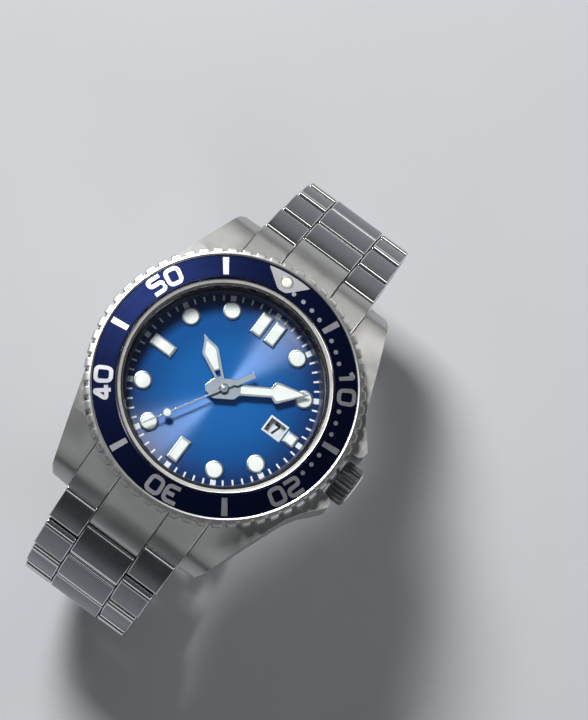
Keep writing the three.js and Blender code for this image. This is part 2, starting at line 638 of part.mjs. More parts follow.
// The end link fills the space between the lugs, and its centre row carries the first pin
function makeEndLink() {
  const direction = END_LINK_SLOPE * DEGREE;
  const place = (along, out) => [
    FIRST_PIN.y + along * Math.cos(direction) + out * Math.sin(direction),
    FIRST_PIN.z - along * Math.sin(direction) + out * Math.cos(direction),
  ];
  const half = LINK_HALF_THICKNESS;
  const top = [[17.0, 7.7], [19.0, 7.3], [20.8, 6.5], [22.4, 5.2], place(-END_STOP, half - 0.1)];
  const bottom = [place(-END_STOP, -half), [19.6, 0.9], [17.0, 1.4]];
  const body = sideways([...top, ...bottom].reverse(), -LUG_INNER_X + 0.1, LUG_INNER_X - 0.1);
  const tail = [
    [18.5, 2.2], [19.0, 7.3], [20.8, 6.5], [22.4, 5.2],
    place(-END_STOP, half), place(END_REACH - 0.4, half), place(END_REACH, half - 0.4),
    ...arc(0, 0, END_REACH, 0, -90, 4).map(([along, out]) => place(along, out - 0.05)),
    place(-2.4, -half),
  ];
  const grooveSide = [...top, [24.5, 2.9], [20.5, 5.2], [17, 6.6]].reverse();
  const grooves = [-1, 1].map((sign) => (
    sideways(grooveSide, ...sided(sign, CENTRE_HALF_WIDTH, CENTRE_HALF_WIDTH + ROW_GAP))
  ));
  const waist = disc(0, 0, WAIST_RADIUS + 0.3, -2, 12, 48);
  const centre = sideways(tail.reverse(), -CENTRE_HALF_WIDTH, CENTRE_HALF_WIDTH);
  const pinHole = bar(-6, 6, FIRST_PIN.y, FIRST_PIN.z, PIN_HOLE, 10);
  const barHole = bar(-12, 12, SPRING_BAR.y, SPRING_BAR.z, SPRING_BAR.radius + 0.1, 12);
  return cut(joined(body, centre), waist, pinHole, barHole, ...grooves);
}

const makeSpringBar = () => joined(
  bar(-LUG_INNER_X + 0.15, LUG_INNER_X - 0.15, SPRING_BAR.y, SPRING_BAR.z, SPRING_BAR.radius, 12),
  bar(-LUG_INNER_X - 1.2, LUG_INNER_X + 1.2, SPRING_BAR.y, SPRING_BAR.z, SPRING_BAR.tip, 8),
);

// Where each link's own pin lies, and where the next piece begins
function chainOf(slopes, curl) {
  const pins = [{ ...FIRST_PIN }];
  const angles = slopes.map((slope, i) => slope + curl * Math.max(0, i + 1 - FIRST_CURLED_LINK));
  for (const angle of angles) {
    const last = pins[pins.length - 1];
    pins.push({
      y: last.y + PITCH * Math.cos(angle * DEGREE),
      z: last.z - PITCH * Math.sin(angle * DEGREE),
    });
  }
  return { pins, angles };
}

// The last links curl until the two halves are one clasp apart
function curlFor(span) {
  let [low, high] = [0, 12];
  for (let step = 0; step < 40; step += 1) {
    const curl = (low + high) / 2;
    const a = chainOf(SLOPES_12, curl).pins.at(-1);
    const d = chainOf(SLOPES_6, curl).pins.at(-1);
    if (Math.hypot(a.y + d.y, a.z - d.z) > span) {
      low = curl;
    } else {
      high = curl;
    }
  }
  return (low + high) / 2;
}

const CURL = curlFor(CLASP_SPAN);
const CHAIN_12 = chainOf(SLOPES_12, CURL);
const CHAIN_6 = chainOf(SLOPES_6, CURL);

for (const [side, chain, turn] of [['12', CHAIN_12, 0], ['6', CHAIN_6, HALF_TURN]]) {
  const half = new THREE.Group();
  half.rotation.z = turn;
  watch.add(half);
  add(`end_link_${side}`, makeEndLink(), LOOKS.steel, half);
  add(`spring_bar_${side}`, makeSpringBar(), LOOKS.steel, half);
  for (let i = 0; i < LINKS_PER_SIDE; i += 1) {
    const width = FIRST_LINK_WIDTH - i * LINK_TAPER;
    const link = add(`link_${side}_${i + 1}`, makeLink(width), LOOKS.steel, half);
    link.position.set(0, chain.pins[i].y, chain.pins[i].z);
    link.rotation.x = -chain.angles[i] * DEGREE;
  }
}

// ---- clasp ----

// How far the clasp's middle line bows out at a distance u from its first pin
const bow = (u) => (4 * CLASP_RISE * u * (CLASP_SPAN - u)) / (CLASP_SPAN * CLASP_SPAN);

// A curved strip of the clasp between two distances, from inner to outer height above the middle line
function strip(start, end, inner, outer, x0, x1, steps = 6) {
  const along = Array.from({ length: steps + 1 }, (_, i) => start + ((end - start) * i) / steps);
  const outside = along.map((u) => [u, bow(u) + outer]);
  const inside = along.map((u) => [u, bow(u) + inner]).reverse();
  return sideways([...inside, ...outside].reverse(), x0, x1);
}

const HINGE_B_HEIGHT = bow(HINGE_B_U) + 0.2;
const HINGE_C_HEIGHT = bow(HINGE_C_U) - 0.4;
const BUTTON_HEIGHT = bow(BUTTON_U) + 0.1;
const LATCH_HINGE_HEIGHT = bow(LATCH_HINGE_U) + COVER_PLATE.outer + 0.8;

function makeClaspCover() {
  const outside = COVER_HALF_WIDTH;
  const inside = COVER_HALF_WIDTH - COVER_WALL;
  const plateEnd = HINGE_B_U - 1.6;
  const top = strip(COVER_START_U, plateEnd, COVER_PLATE.inner, COVER_PLATE.outer, -outside, outside);
  const walls = [-1, 1].map((sign) => {
    const ends = sided(sign, inside, outside);
    return joined(
      strip(0, HINGE_B_U, -1.2, COVER_PLATE.outer - 0.9, ...ends),
      strip(COVER_START_U, plateEnd, 1, COVER_PLATE.outer, ...ends),
      bar(...ends, HINGE_B_U, HINGE_B_HEIGHT, HINGE_RADIUS + 0.3, 12),
      bar(...ends, 0, 0, HINGE_RADIUS + 0.1, 12),
    );
  });
  const knuckles = [-1, 1].map((sign) => {
    const [x0, x1] = sided(sign, LATCH_KNUCKLE.near, LATCH_KNUCKLE.far);
    const rib = block(
      [x0, LATCH_HINGE_U - 0.5, bow(LATCH_HINGE_U) + 2.3],
      [x1, LATCH_HINGE_U + 0.5, LATCH_HINGE_HEIGHT],
    );
    return joined(bar(x0, x1, LATCH_HINGE_U, LATCH_HINGE_HEIGHT, LATCH_KNUCKLE.radius, 10), rib);
  });
  const windows = [-1, 1].map((sign) => {
    const [x0, x1] = sided(sign, inside - 1, outside + 1);
    return block([x0, BUTTON_U - 1.8, BUTTON_HEIGHT - 0.8], [x1, BUTTON_U + 1.8, BUTTON_HEIGHT + 0.8]);
  });
  const barHole = bar(-outside - 1, outside + 1, 0, 0, CLASP_PIN + 0.1, 10);
  const hingeHole = bar(-outside - 1, outside + 1, HINGE_B_U, HINGE_B_HEIGHT, CLASP_PIN + 0.1, 10);
  return cut(joined(top, ...walls, ...knuckles), ...windows, barHole, hingeHole);
}

function makeOuterBlade() {
  const reach = COVER_HALF_WIDTH - COVER_WALL - 0.15;
  const leaf = strip(HINGE_C_U, HINGE_B_U, 0.0, 0.9, -BLADE_HALF_WIDTH, BLADE_HALF_WIDTH);
  const barrel = bar(-reach, reach, HINGE_B_U, HINGE_B_HEIGHT, HINGE_RADIUS, 12);
  const pinReach = COVER_HALF_WIDTH - 0.1;
  const pin = bar(-pinReach, pinReach, HINGE_B_U, HINGE_B_HEIGHT, CLASP_PIN, 10);
  const knuckle = bar(-KNUCKLE_REACH, KNUCKLE_REACH, HINGE_C_U, HINGE_C_HEIGHT, HINGE_RADIUS, 12);
  const clearances = [-1, 1].map((sign) => {
    const ends = sided(sign, KNUCKLE_REACH, BLADE_HALF_WIDTH + 1);
    return bar(...ends, HINGE_C_U, HINGE_C_HEIGHT, HINGE_RADIUS + 0.2, 12);
  });
  const hole = bar(-3, 3, HINGE_C_U, HINGE_C_HEIGHT, CLASP_PIN + 0.15, 10);
  return cut(joined(cut(leaf, ...clearances), barrel, pin, knuckle), hole);
}

function makeInnerBlade() {
  const leaf = strip(HINGE_C_U, CLASP_SPAN, -1.7, -0.9, -BLADE_HALF_WIDTH, BLADE_HALF_WIDTH);
  const forkGap = KNUCKLE_REACH + 0.15;
  const fork = [-1, 1].map((sign) => {
    const ends = sided(sign, forkGap, BLADE_HALF_WIDTH);
    return bar(...ends, HINGE_C_U, HINGE_C_HEIGHT, HINGE_RADIUS, 12);
  });
  const pin = bar(-3, 3, HINGE_C_U, HINGE_C_HEIGHT, CLASP_PIN, 10);
  const tailHalf = CENTRE_HALF_WIDTH + 0.35;
  const arms = [-1, 1].map((sign) => {
    const ends = sided(sign, tailHalf, 6.4);
    return joined(bar(...ends, CLASP_SPAN, 0, 1.3, 12), strip(33, CLASP_SPAN, -1.7, -0.9, ...ends, 2));
  });
  const knuckleRoom = bar(-forkGap, forkGap, HINGE_C_U, HINGE_C_HEIGHT, HINGE_RADIUS + 0.2, 12);
  const barrelRoom = bar(-9, 9, HINGE_B_U, HINGE_B_HEIGHT, HINGE_RADIUS + 0.2, 12);
  const tailRoom = block([-tailHalf, CLASP_SPAN - 5, -4], [tailHalf, CLASP_SPAN + 3, 3]);
  return joined(cut(joined(leaf, ...arms), knuckleRoom, barrelRoom, tailRoom), ...fork, pin);
}

function makeSafetyLatch() {
  const leaf = strip(1.7, LATCH_HINGE_U, COVER_PLATE.outer + 0.2, COVER_PLATE.outer + 0.95, -7.6, 7.6, 4);
  const lip = strip(1.7, 2.4, 1.7, COVER_PLATE.outer + 0.5, -5, 5, 1);
  const reach = LATCH_KNUCKLE.near - 0.2;
  const barrel = bar(-reach, reach, LATCH_HINGE_U, LATCH_HINGE_HEIGHT, LATCH_KNUCKLE.radius, 10);
  const room = [-1, 1].map((sign) => {
    const ends = sided(sign, reach, LATCH_KNUCKLE.far + 0.2);
    return bar(...ends, LATCH_HINGE_U, LATCH_HINGE_HEIGHT, LATCH_KNUCKLE.radius + 0.25, 10);
  });
  return joined(cut(leaf, ...room), barrel, lip);
}

function makeButton(sign) {
  const inside = COVER_HALF_WIDTH - COVER_WALL;
  const [key0, key1] = sided(sign, inside - 0.9, COVER_HALF_WIDTH + 0.5);
  const [flange0, flange1] = sided(sign, inside - 0.9, inside - 0.25);
  return joined(
    block([key0, BUTTON_U - 1.55, BUTTON_HEIGHT - 0.55], [key1, BUTTON_U + 1.55, BUTTON_HEIGHT + 0.55]),
    block([flange0, BUTTON_U - 2.3, BUTTON_HEIGHT - 0.9], [flange1, BUTTON_U + 2.3, BUTTON_HEIGHT + 0.9]),
  );
}

const claspStart = CHAIN_12.pins.at(-1);
const claspEnd = CHAIN_6.pins.at(-1);
const clasp = new THREE.Group();
clasp.position.set(0, claspStart.y, claspStart.z);
clasp.rotation.x = Math.atan2(claspEnd.z - claspStart.z, -claspEnd.y - claspStart.y);
watch.add(clasp);

add('clasp_cover', makeClaspCover(), LOOKS.steel, clasp);
add('clasp_spring_bar', bar(0.1 - COVER_HALF_WIDTH, COVER_HALF_WIDTH - 0.1, 0, 0, CLASP_PIN, 10),
  LOOKS.steel, clasp);
add('clasp_outer_blade', makeOuterBlade(), LOOKS.steel, clasp);
add('clasp_inner_blade', makeInnerBlade(), LOOKS.steel, clasp);
add('clasp_button_left', makeButton(-1), LOOKS.polished, clasp);
add('clasp_button_right', makeButton(1), LOOKS.polished, clasp);
add('safety_latch', makeSafetyLatch(), LOOKS.steel, clasp);

export default watch;
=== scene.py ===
"""The looks of a dive watch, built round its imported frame.

Shapes are given in millimetres, in the frame's axes: +X to 3 o'clock, +Y to 12 o'clock, +Z out of the dial.
"""
import json
import math

import bmesh
import bpy
from mathutils import Matrix, Vector


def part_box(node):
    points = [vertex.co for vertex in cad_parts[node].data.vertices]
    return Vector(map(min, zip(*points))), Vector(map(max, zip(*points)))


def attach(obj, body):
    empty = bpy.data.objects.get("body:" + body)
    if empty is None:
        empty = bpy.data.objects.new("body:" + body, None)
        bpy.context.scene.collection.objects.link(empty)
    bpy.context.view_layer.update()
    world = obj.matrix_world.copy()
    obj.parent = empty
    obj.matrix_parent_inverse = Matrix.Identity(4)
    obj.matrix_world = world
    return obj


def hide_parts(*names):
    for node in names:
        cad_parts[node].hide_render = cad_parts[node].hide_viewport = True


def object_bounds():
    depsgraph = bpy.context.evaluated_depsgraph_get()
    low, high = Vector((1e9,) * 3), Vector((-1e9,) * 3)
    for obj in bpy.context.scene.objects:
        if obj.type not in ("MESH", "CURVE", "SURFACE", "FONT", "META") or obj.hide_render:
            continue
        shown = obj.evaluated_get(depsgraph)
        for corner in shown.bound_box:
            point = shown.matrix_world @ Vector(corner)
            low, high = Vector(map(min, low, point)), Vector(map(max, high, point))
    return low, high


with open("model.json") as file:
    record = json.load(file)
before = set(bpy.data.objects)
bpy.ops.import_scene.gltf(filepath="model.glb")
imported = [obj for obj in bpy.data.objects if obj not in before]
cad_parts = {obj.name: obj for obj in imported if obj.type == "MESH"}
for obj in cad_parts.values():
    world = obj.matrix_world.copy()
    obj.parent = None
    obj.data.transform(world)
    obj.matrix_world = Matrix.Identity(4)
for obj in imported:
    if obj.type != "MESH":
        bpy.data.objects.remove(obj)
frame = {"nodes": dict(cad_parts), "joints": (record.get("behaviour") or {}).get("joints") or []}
CAD_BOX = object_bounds()

MM = 0.001
TURN = 2 * math.pi
FINE = 192  # steps round a large turned part
FAR = 30  # well beyond the case
scene = bpy.context.scene


# ---- mesh tools ----

def make_mesh(points, faces, looks, face_looks=None):
    """A mesh from points in millimetres, with one material index for each face."""
    mesh = bpy.data.meshes.new("piece")
    mesh.from_pydata([Vector(p) * MM for p in points], [], faces)
    for look in looks:
        mesh.materials.append(look)
    if face_looks:
        mesh.polygons.foreach_set("material_index", face_looks)
    form = bmesh.new()
    form.from_mesh(mesh)
    bmesh.ops.recalc_face_normals(form, faces=form.faces)
    form.to_mesh(mesh)
    form.free()
    return mesh


def lathe(profile, looks, steps=FINE, notch=None):
    """A closed profile of (radius, z, material, notch share) turned about Z.

    The last two may be left out, and a radius of 0 is a point on the axis. notch(angle) gives how far the
    profile is set back there, and its share says how much of that each of its points takes.
    """
    profile = [(*p, *(0, 0)[len(p) - 2:]) for p in profile]
    on_axis = profile[0][0] == 0
    points, rings = [], []
    for radius, z, _, share in profile:
        if radius == 0:
            rings.append([len(points)] * steps)
            points.append((0, 0, z))
            continue
        rings.append(range(len(points), len(points) + steps))
        for step in range(steps):
            angle = TURN * step / steps
            reach = radius - (share * notch(angle) if notch else 0)
            points.append((reach * math.cos(angle), reach * math.sin(angle), z))
    faces, face_looks = [], []
    for i in range(len(profile) - (1 if on_axis else 0)):
        here, there = rings[i], rings[(i + 1) % len(profile)]
        for step in range(steps):
            after = (step + 1) % steps
            corners = list(dict.fromkeys([here[step], here[after], there[after], there[step]]))
            if len(corners) > 2:
                faces.append(corners)
                face_looks.append(profile[i][2])
    return make_mesh(points, faces, looks, face_looks)


def slab_faces(count):
    """Faces for two outlines of as many points, one above the other, with walls between them."""
    ends = [list(range(count)), list(range(count, 2 * count))]
    return ends + [[i, (i + 1) % count, (i + 1) % count + count, i + count] for i in range(count)]


def slab(outline, low, high, looks, side_looks=None, axis="Z"):
    """An outline drawn out between two heights. side_looks gives the material of each side wall."""
    count = len(outline)
    if axis == "Z":
        points = [(a, b, low) for a, b in outline] + [(a, b, high) for a, b in outline]
    else:
        points = [(low, a, b) for a, b in outline] + [(high, a, b) for a, b in outline]
    return make_mesh(points, slab_faces(count), looks, [0, 0] + list(side_looks or [0] * count))


def block(low, high, looks):
    """A box between two corners."""
    outline = [(low[0], low[1]), (high[0], low[1]), (high[0], high[1]), (low[0], high[1])]
    return slab(outline, low[2], high[2], looks)


def rod(x0, x1, y, z, radius, looks, sides=32):
    """A round bar along X."""
    outline = arc(y, z, radius, 0, 360, sides)[:-1]
    return slab(outline, x0, x1, looks, axis="X")


def arc(x, y, radius, start, end, steps):
    """Points along an arc, from one angle in degrees to another."""
    angles = [math.radians(start + (end - start) * i / steps) for i in range(steps + 1)]
    return [(x + radius * math.cos(a), y + radius * math.sin(a)) for a in angles]


def flow(points, steps=6):
    """A smooth curve through the points."""
    result = []
    for i in range(len(points) - 1):
        a, b, c, d = (Vector(points[max(0, min(len(points) - 1, i + k))]) for k in (-1, 0, 1, 2))
        for step in range(steps):
            t = step / steps
            near = 2 * b + (c - a) * t + (2 * a - 5 * b + 4 * c - d) * t * t
            result.append(tuple((near + (3 * b - a - 3 * c + d) * t ** 3) / 2))
    return result + [tuple(points[-1])]


def applied(mesh, add):
    """The mesh after the modifiers that add() gives it."""
    holder = bpy.data.objects.new("holder", mesh)
    scene.collection.objects.link(holder)
    add(holder)
    graph = bpy.context.evaluated_depsgraph_get()
    graph.update()
    result = bpy.data.meshes.new_from_object(holder.evaluated_get(graph), depsgraph=graph)
    bpy.data.objects.remove(holder)
    return result


def combine(mesh, tools, operation):
    """The mesh after a boolean operation with each of the tools."""
    others = [bpy.data.objects.new("tool", tool) for tool in tools]
    for other in others:
        scene.collection.objects.link(other)

    def add(holder):
        for other in others:
            modifier = holder.modifiers.new(operation, "BOOLEAN")
            modifier.operation = operation
            modifier.solver = "EXACT"
            modifier.object = other

    result = applied(mesh, add)
    for other in others:
        bpy.data.objects.remove(other)
    return result


def joined(mesh, *tools):
    return combine(mesh, tools, "UNION")


def cut(mesh, *tools):
    return combine(mesh, tools, "DIFFERENCE")


def bevelled(mesh, width, look=0, segments=3, angle=35):
    """Rounds every edge sharper than the angle, and shades the faces between them flat."""
    mesh.shade_smooth()

    def add(holder):
        modifier = holder.modifiers.new("bevel", "BEVEL")
        modifier.width = width * MM
        modifier.segments = segments
        modifier.limit_method = "ANGLE"
        modifier.angle_limit = math.radians(angle)
        modifier.material = look
        modifier.harden_normals = True
        modifier.miter_outer = "MITER_ARC"

    return applied(mesh, add)


def smooth(mesh, angle=30):
    """Smooth shading, apart from edges sharper than the angle."""
    mesh.shade_smooth()
    mesh.set_sharp_from_angle(angle=math.radians(angle))
    return mesh


def moved(mesh, matrix):
    mesh.transform(matrix)
    return mesh


def merged(meshes):
    """Several closed meshes as one."""
    form = bmesh.new()
    for mesh in meshes:
        form.from_mesh(mesh)
    result = bpy.data.meshes.new("piece")
    for look in meshes[0].materials:
        result.materials.append(look)
    form.to_mesh(result)
    form.free()
    return result


def turn_z(degrees):
    return Matrix.Rotation(math.radians(degrees), 4, "Z")


def shift(x, y, z):
    return Matrix.Translation(Vector((x, y, z)) * MM)


def piece(name, mesh, body, replaces=(), place=None):
    """A finished piece that moves with a CAD body."""
    thing = bpy.data.objects.new(name, mesh)
    scene.collection.objects.link(thing)
    if place:
        thing.matrix_world = place
    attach(thing, body)
    if replaces:
        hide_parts(*replaces)
    return thing


# ---- materials ----

BUMP_DEPTH = 0.02


class Look:
    """One material and its nodes."""

    def __init__(self, name, **constants):
        self.material = bpy.data.materials.new(name)
        self.material.use_nodes = True
        self.tree = self.material.node_tree
        self.tree.nodes.clear()
        self.output = self.tree.nodes.new("ShaderNodeOutputMaterial")
        self.shader = self.tree.nodes.new("ShaderNodeBsdfPrincipled")
        self.link(self.shader.outputs[0], self.output.inputs["Surface"])
        for socket, value in constants.items():
            self.shader.inputs[socket.replace("_", " ")].default_value = value

    def link(self, source, target):
        self.tree.links.new(source, target)

    def node(self, kind, inputs=None, **settings):
        made = self.tree.nodes.new("ShaderNode" + kind)
        for key, value in settings.items():
            setattr(made, key, value)
        for socket, value in (inputs or {}).items():
            if isinstance(value, bpy.types.NodeSocket):
                self.link(value, made.inputs[socket])
            else:
                made.inputs[socket].default_value = value
        return made

    def place(self):
        """Object coordinates in millimetres."""
        return self.stretched(self.node("TexCoord").outputs["Object"], (1000, 1000, 1000))

    def stretched(self, vector, scale):
        return self.node("VectorMath", {0: vector, 1: scale}, operation="MULTIPLY").outputs[0]

    def noise(self, vector, scale=1.0, detail=3.0, roughness=0.6):
        inputs = {"Vector": vector, "Scale": scale, "Detail": detail, "Roughness": roughness}
        return self.node("TexNoise", inputs).outputs[0]

    def ramp(self, source, *stops):
        """Colours or plain values along a source, each stop a (position, value)."""
        ramp = self.node("ValToRGB", {0: source})
        elements = ramp.color_ramp.elements
        while len(elements) < len(stops):
            elements.new(1.0)
        for element, (position, value) in zip(elements, stops):
            element.position = position
            shade = value if isinstance(value, tuple) else (value,) * 3
            element.color = (*shade, 1)
        return ramp.outputs[0]

    def between(self, noise, low, high):
        """One colour or value in the troughs of a noise, blending to another on its crests."""
        return self.ramp(noise, (0.3, low), (0.7, high))

    def scaled(self, source, share, offset=0.0):
        """A value times a share, plus an offset."""
        inputs = {0: source, 1: share, 2: offset}
        return self.node("Math", inputs, operation="MULTIPLY_ADD").outputs[0]

    def multiplied(self, first, second):
        """The product of two colours."""
        node = self.node("Mix", {0: 1.0, 6: first, 7: second}, data_type="RGBA", blend_type="MULTIPLY")
        return node.outputs[2]

    def bump(self, height, strength):
        inputs = {"Height": height, "Strength": strength, "Distance": BUMP_DEPTH * MM}
        self.link(self.node("Bump", inputs).outputs[0], self.shader.inputs["Normal"])

    def set(self, socket, source):
        self.link(source, self.shader.inputs[socket])

    def flat(self, vector):
        """The part of a vector that lies across the axis."""
        return self.stretched(vector, (1, 1, 0))

    def radius(self, vector):
        """The distance from the axis."""
        return self.node("VectorMath", {0: self.flat(vector)}, operation="LENGTH").outputs["Value"]

    def rays(self, vector, scale):
        """Coordinates that stay the same along each ray from the axis."""
        direction = self.node("VectorMath", {0: self.flat(vector)}, operation="NORMALIZE").outputs[0]
        return self.stretched(direction, (scale, scale, scale))

    def circles(self, vector, scale):
        """Coordinates that stay the same along each circle round the axis."""
        height = self.node("SeparateXYZ", {0: vector}).outputs[2]
        inputs = {0: self.scaled(self.radius(vector), scale), 1: self.scaled(height, scale)}
        return self.node("CombineXYZ", inputs).outputs[0]


# How a metal's grain runs, as a stretch of its coordinates
GRAIN = 9
EVEN = (GRAIN, GRAIN, GRAIN)
ALONG_X = (0.35, GRAIN, GRAIN)
ALONG_Y = (GRAIN, 0.35, GRAIN)
WOUND_ON_X = (14, 0.2, 0.2)
ROUND_AXIS = "in circles"


def metal(name, colour, rough, grain=EVEN, bump=0.1, wear=0.12):
    """Metal with a machined grain, rough between two values."""
    look = Look(name, Metallic=1.0)
    place = look.place()
    way = look.circles(place, GRAIN) if grain == ROUND_AXIS else look.stretched(place, grain)
    lines = look.noise(way, detail=4, roughness=0.7)
    cloud = look.noise(place, scale=0.35, detail=3)
    dark = tuple(c * (1 - wear) for c in colour)
    shade = look.between(lines, dark, colour)
    tint = look.between(cloud, 1 - wear / 2, 1.0)
    look.set("Base Color", look.multiplied(shade, tint))
    least, most = rough
    patches = look.scaled(cloud, (most - least) / 2)
    spread = look.node("Math", {0: look.scaled(lines, most - least), 1: patches}, operation="ADD").outputs[0]
    look.set("Roughness", look.scaled(spread, 1.0, least))
    look.bump(lines, bump)
    return look.material


def flat_paint(name, colour, rough, grain_scale=6, bump=0.05, variation=0.08, **constants):
    """Paint, plastic or rubber with a fine moulded grain."""
    look = Look(name, **constants)
    place = look.place()
    grain = look.noise(place, scale=grain_scale, detail=4)
    cloud = look.noise(place, scale=0.5, detail=2)
    dark = tuple(c * (1 - variation) for c in colour)
    look.set("Base Color", look.between(cloud, dark, colour))
    look.set("Roughness", look.scaled(grain, 0.2, rough - 0.1))
    look.bump(grain, bump)
    return look.material


DIAL_FADE = 15  # radius at which the dial's colours end


def dial_paint():
    """Blue that darkens to the rim, over a sunburst brushed metal."""
    look = Look("dial_blue", Metallic=0.12, IOR=1.6, Anisotropic=1.0)
    place = look.place()
    shade = look.ramp(
        look.scaled(look.radius(place), 1 / DIAL_FADE),
        (0.0, (0.02, 0.2, 0.6)), (0.4, (0.014, 0.17, 0.53)), (0.7, (0.01, 0.11, 0.38)),
        (0.95, (0.008, 0.024, 0.12)),
    )
    rays = look.noise(look.rays(place, 40), detail=6, roughness=0.75)
    look.set("Base Color", look.multiplied(shade, look.between(rays, 0.82, 1.0)))
    look.set("Roughness", look.scaled(rays, 0.1, 0.24))
    look.bump(rays, 0.05)
    look.set("Tangent", look.node("Tangent", direction_type="RADIAL", axis="Z").outputs[0])
    return look.material


def insert_paint():
    """Anodised aluminium under a clear gloss."""
    look = Look("bezel_blue", Metallic=1.0, Coat_Weight=0.3, Coat_Roughness=0.2)
    place = look.place()
    lines = look.noise(look.circles(place, 7), detail=5, roughness=0.7)
    cloud = look.noise(place, scale=0.3)
    shade = look.between(lines, (0.003, 0.008, 0.05), (0.006, 0.014, 0.075))
    look.set("Base Color", look.multiplied(shade, look.between(cloud, 0.85, 1.0)))
    look.set("Roughness", look.scaled(lines, 0.1, 0.22))
    look.bump(lines, 0.03)
    return look.material


def crystal_glass():
    """Clear flat glass: what is behind shows through, and its face mirrors more at a slant."""
    look = Look("crystal_glass")
    place = look.place()
    smears = look.noise(place, scale=0.25, detail=4)
    glossy = look.node("BsdfAnisotropic", {"Color": (1, 1, 1, 1)})
    look.link(look.scaled(smears, 0.03, 0.01), glossy.inputs["Roughness"])
    clear = look.node("BsdfTransparent", {"Color": (0.97, 0.985, 0.99, 1)})
    mirror = look.node("Fresnel", {"IOR": 1.45})
    mix = look.node("MixShader", {0: mirror.outputs[0], 1: clear.outputs[0], 2: glossy.outputs[0]})
    look.tree.nodes.remove(look.shader)
    look.link(mix.outputs[0], look.output.inputs["Surface"])
    return look.material


BRUSHED = metal("steel_brushed", (0.54, 0.54, 0.53), (0.24, 0.42), ALONG_Y, bump=0.16)
# The crystal's neck ring is steel painted nearly black: painted shade that keeps the ring dark and stops it
# catching highlights.
NECK_STEEL_PAINTED_DARK = metal("steel_neck_painted_dark", (0.026, 0.029, 0.034), (0.26, 0.36), ROUND_AXIS, bump=0.05)
# The links' steel is a darker copy of the case steel: painted shade standing in for the dark surroundings the
# links would mirror, which the pale floor does not give.
LINK_BRUSHED_PAINTED_DARK = metal("steel_link_brushed_painted_dark", (0.25, 0.26, 0.275), (0.2, 0.36), ALONG_Y, bump=0.16,
                     wear=0.2)
# The crown's steel is a darker copy of the case steel: painted shade that dims the crown's ridges and the
# pip's rim.
CROWN_STEEL_PAINTED_DARK = metal("steel_crown_painted_dark", (0.2, 0.205, 0.22), (0.2, 0.32), bump=0.06)
RIM_SATIN = metal("steel_rim_satin", (0.5, 0.5, 0.5), (0.26, 0.36), ROUND_AXIS, bump=0.05)
RIM_FLANK = metal("steel_rim_flank", (0.56, 0.56, 0.55), (0.42, 0.52), bump=0.05)
HAND_STEEL = metal("steel_hand", (0.50, 0.56, 0.61), (0.34, 0.42), bump=0.02)
FRAME_STEEL = metal("steel_marker_frame", (0.52, 0.57, 0.62), (0.34, 0.42), bump=0.02)
CIRCLE_BRUSHED = metal("steel_circle_brushed", (0.62, 0.62, 0.60), (0.16, 0.3), ROUND_AXIS, bump=0.08)
POLISHED = metal("steel_polished", (0.78, 0.78, 0.77), (0.06, 0.13), bump=0.004, wear=0.05)
SATIN = metal("steel_satin", (0.52, 0.53, 0.54), (0.25, 0.4), ALONG_X, bump=0.1)
SILVER = metal("silver_print", (0.60, 0.61, 0.64), (0.24, 0.34), bump=0.05)
BRASS = metal("brass_plain", (0.66, 0.48, 0.21), (0.22, 0.38), ROUND_AXIS, bump=0.1)
COPPER = metal("copper_wire", (0.72, 0.3, 0.14), (0.25, 0.4), WOUND_ON_X, bump=0.6)
DIAL = dial_paint()
INSERT = insert_paint()
GLASS = crystal_glass()
# The lume's faint emission is a painted glow: it makes the marker, hand and seconds-dot fills brighter than
# the lamps alone would.
LUME_PAINTED_GLOW = flat_paint("lume", (0.94, 0.94, 0.88), 0.6, grain_scale=14, bump=0.1, variation=0.04,
                  Emission_Color=(0.95, 0.95, 0.87, 1), Emission_Strength=0.1)
PIP_LUME = flat_paint("pip_lume", (0.66, 0.68, 0.56), 0.6, grain_scale=14, bump=0.1, variation=0.04)
WHITE = flat_paint("white_print", (0.93, 0.94, 0.94), 0.45, variation=0.03)
BLACK = flat_paint("black_satin", (0.012, 0.014, 0.02), 0.35, variation=0.3)
FLANGE = flat_paint("flange_satin", (0.045, 0.05, 0.1), 0.35, variation=0.2)
INK = flat_paint("black_ink", (0.01, 0.01, 0.012), 0.5, variation=0.2)
RUBBER = flat_paint("rubber_black", (0.02, 0.02, 0.021), 0.75, grain_scale=9, bump=0.2)
NYLON = flat_paint("nylon_clear", (0.68, 0.68, 0.63), 0.45, Subsurface_Weight=0.2, Subsurface_Scale=0.001)
STEEL = [BRUSHED, POLISHED]
LINK = [LINK_BRUSHED_PAINTED_DARK, POLISHED]
HAND = [HAND_STEEL, POLISHED]


# ---- case ----

CASE_RADIUS = 20.3
WAIST_RADIUS = 18.4
LUG_INNER_X = 10.1
LUG_TIP_Y = 23.9
FLANK_CORNER = (18.4, 10.2)
CROWN_GUARD = [(20.3, 3.4), (21.6, 3.6), (22.2, 4.1), (22.3, 5.0), (21.4, 6.1), (19.7, 8.0), FLANK_CORNER]
LUG_TIP = [(13.6, 22.9), (12.9, 23.7), (LUG_INNER_X, LUG_TIP_Y)]
STEM_RADIUS = 0.45
STEM_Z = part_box("stem")[1].z / MM - STEM_RADIUS
CROWN_TUBE_HOLE = 1.3
SPRING_BAR = (21.3, 2.6)  # Y and Z of the bars that hold the end links
BAR_HOLE_RADIUS = 0.6
BAR_HOLE_X = (9.6, 11.6)
BORE_STEPS = 144


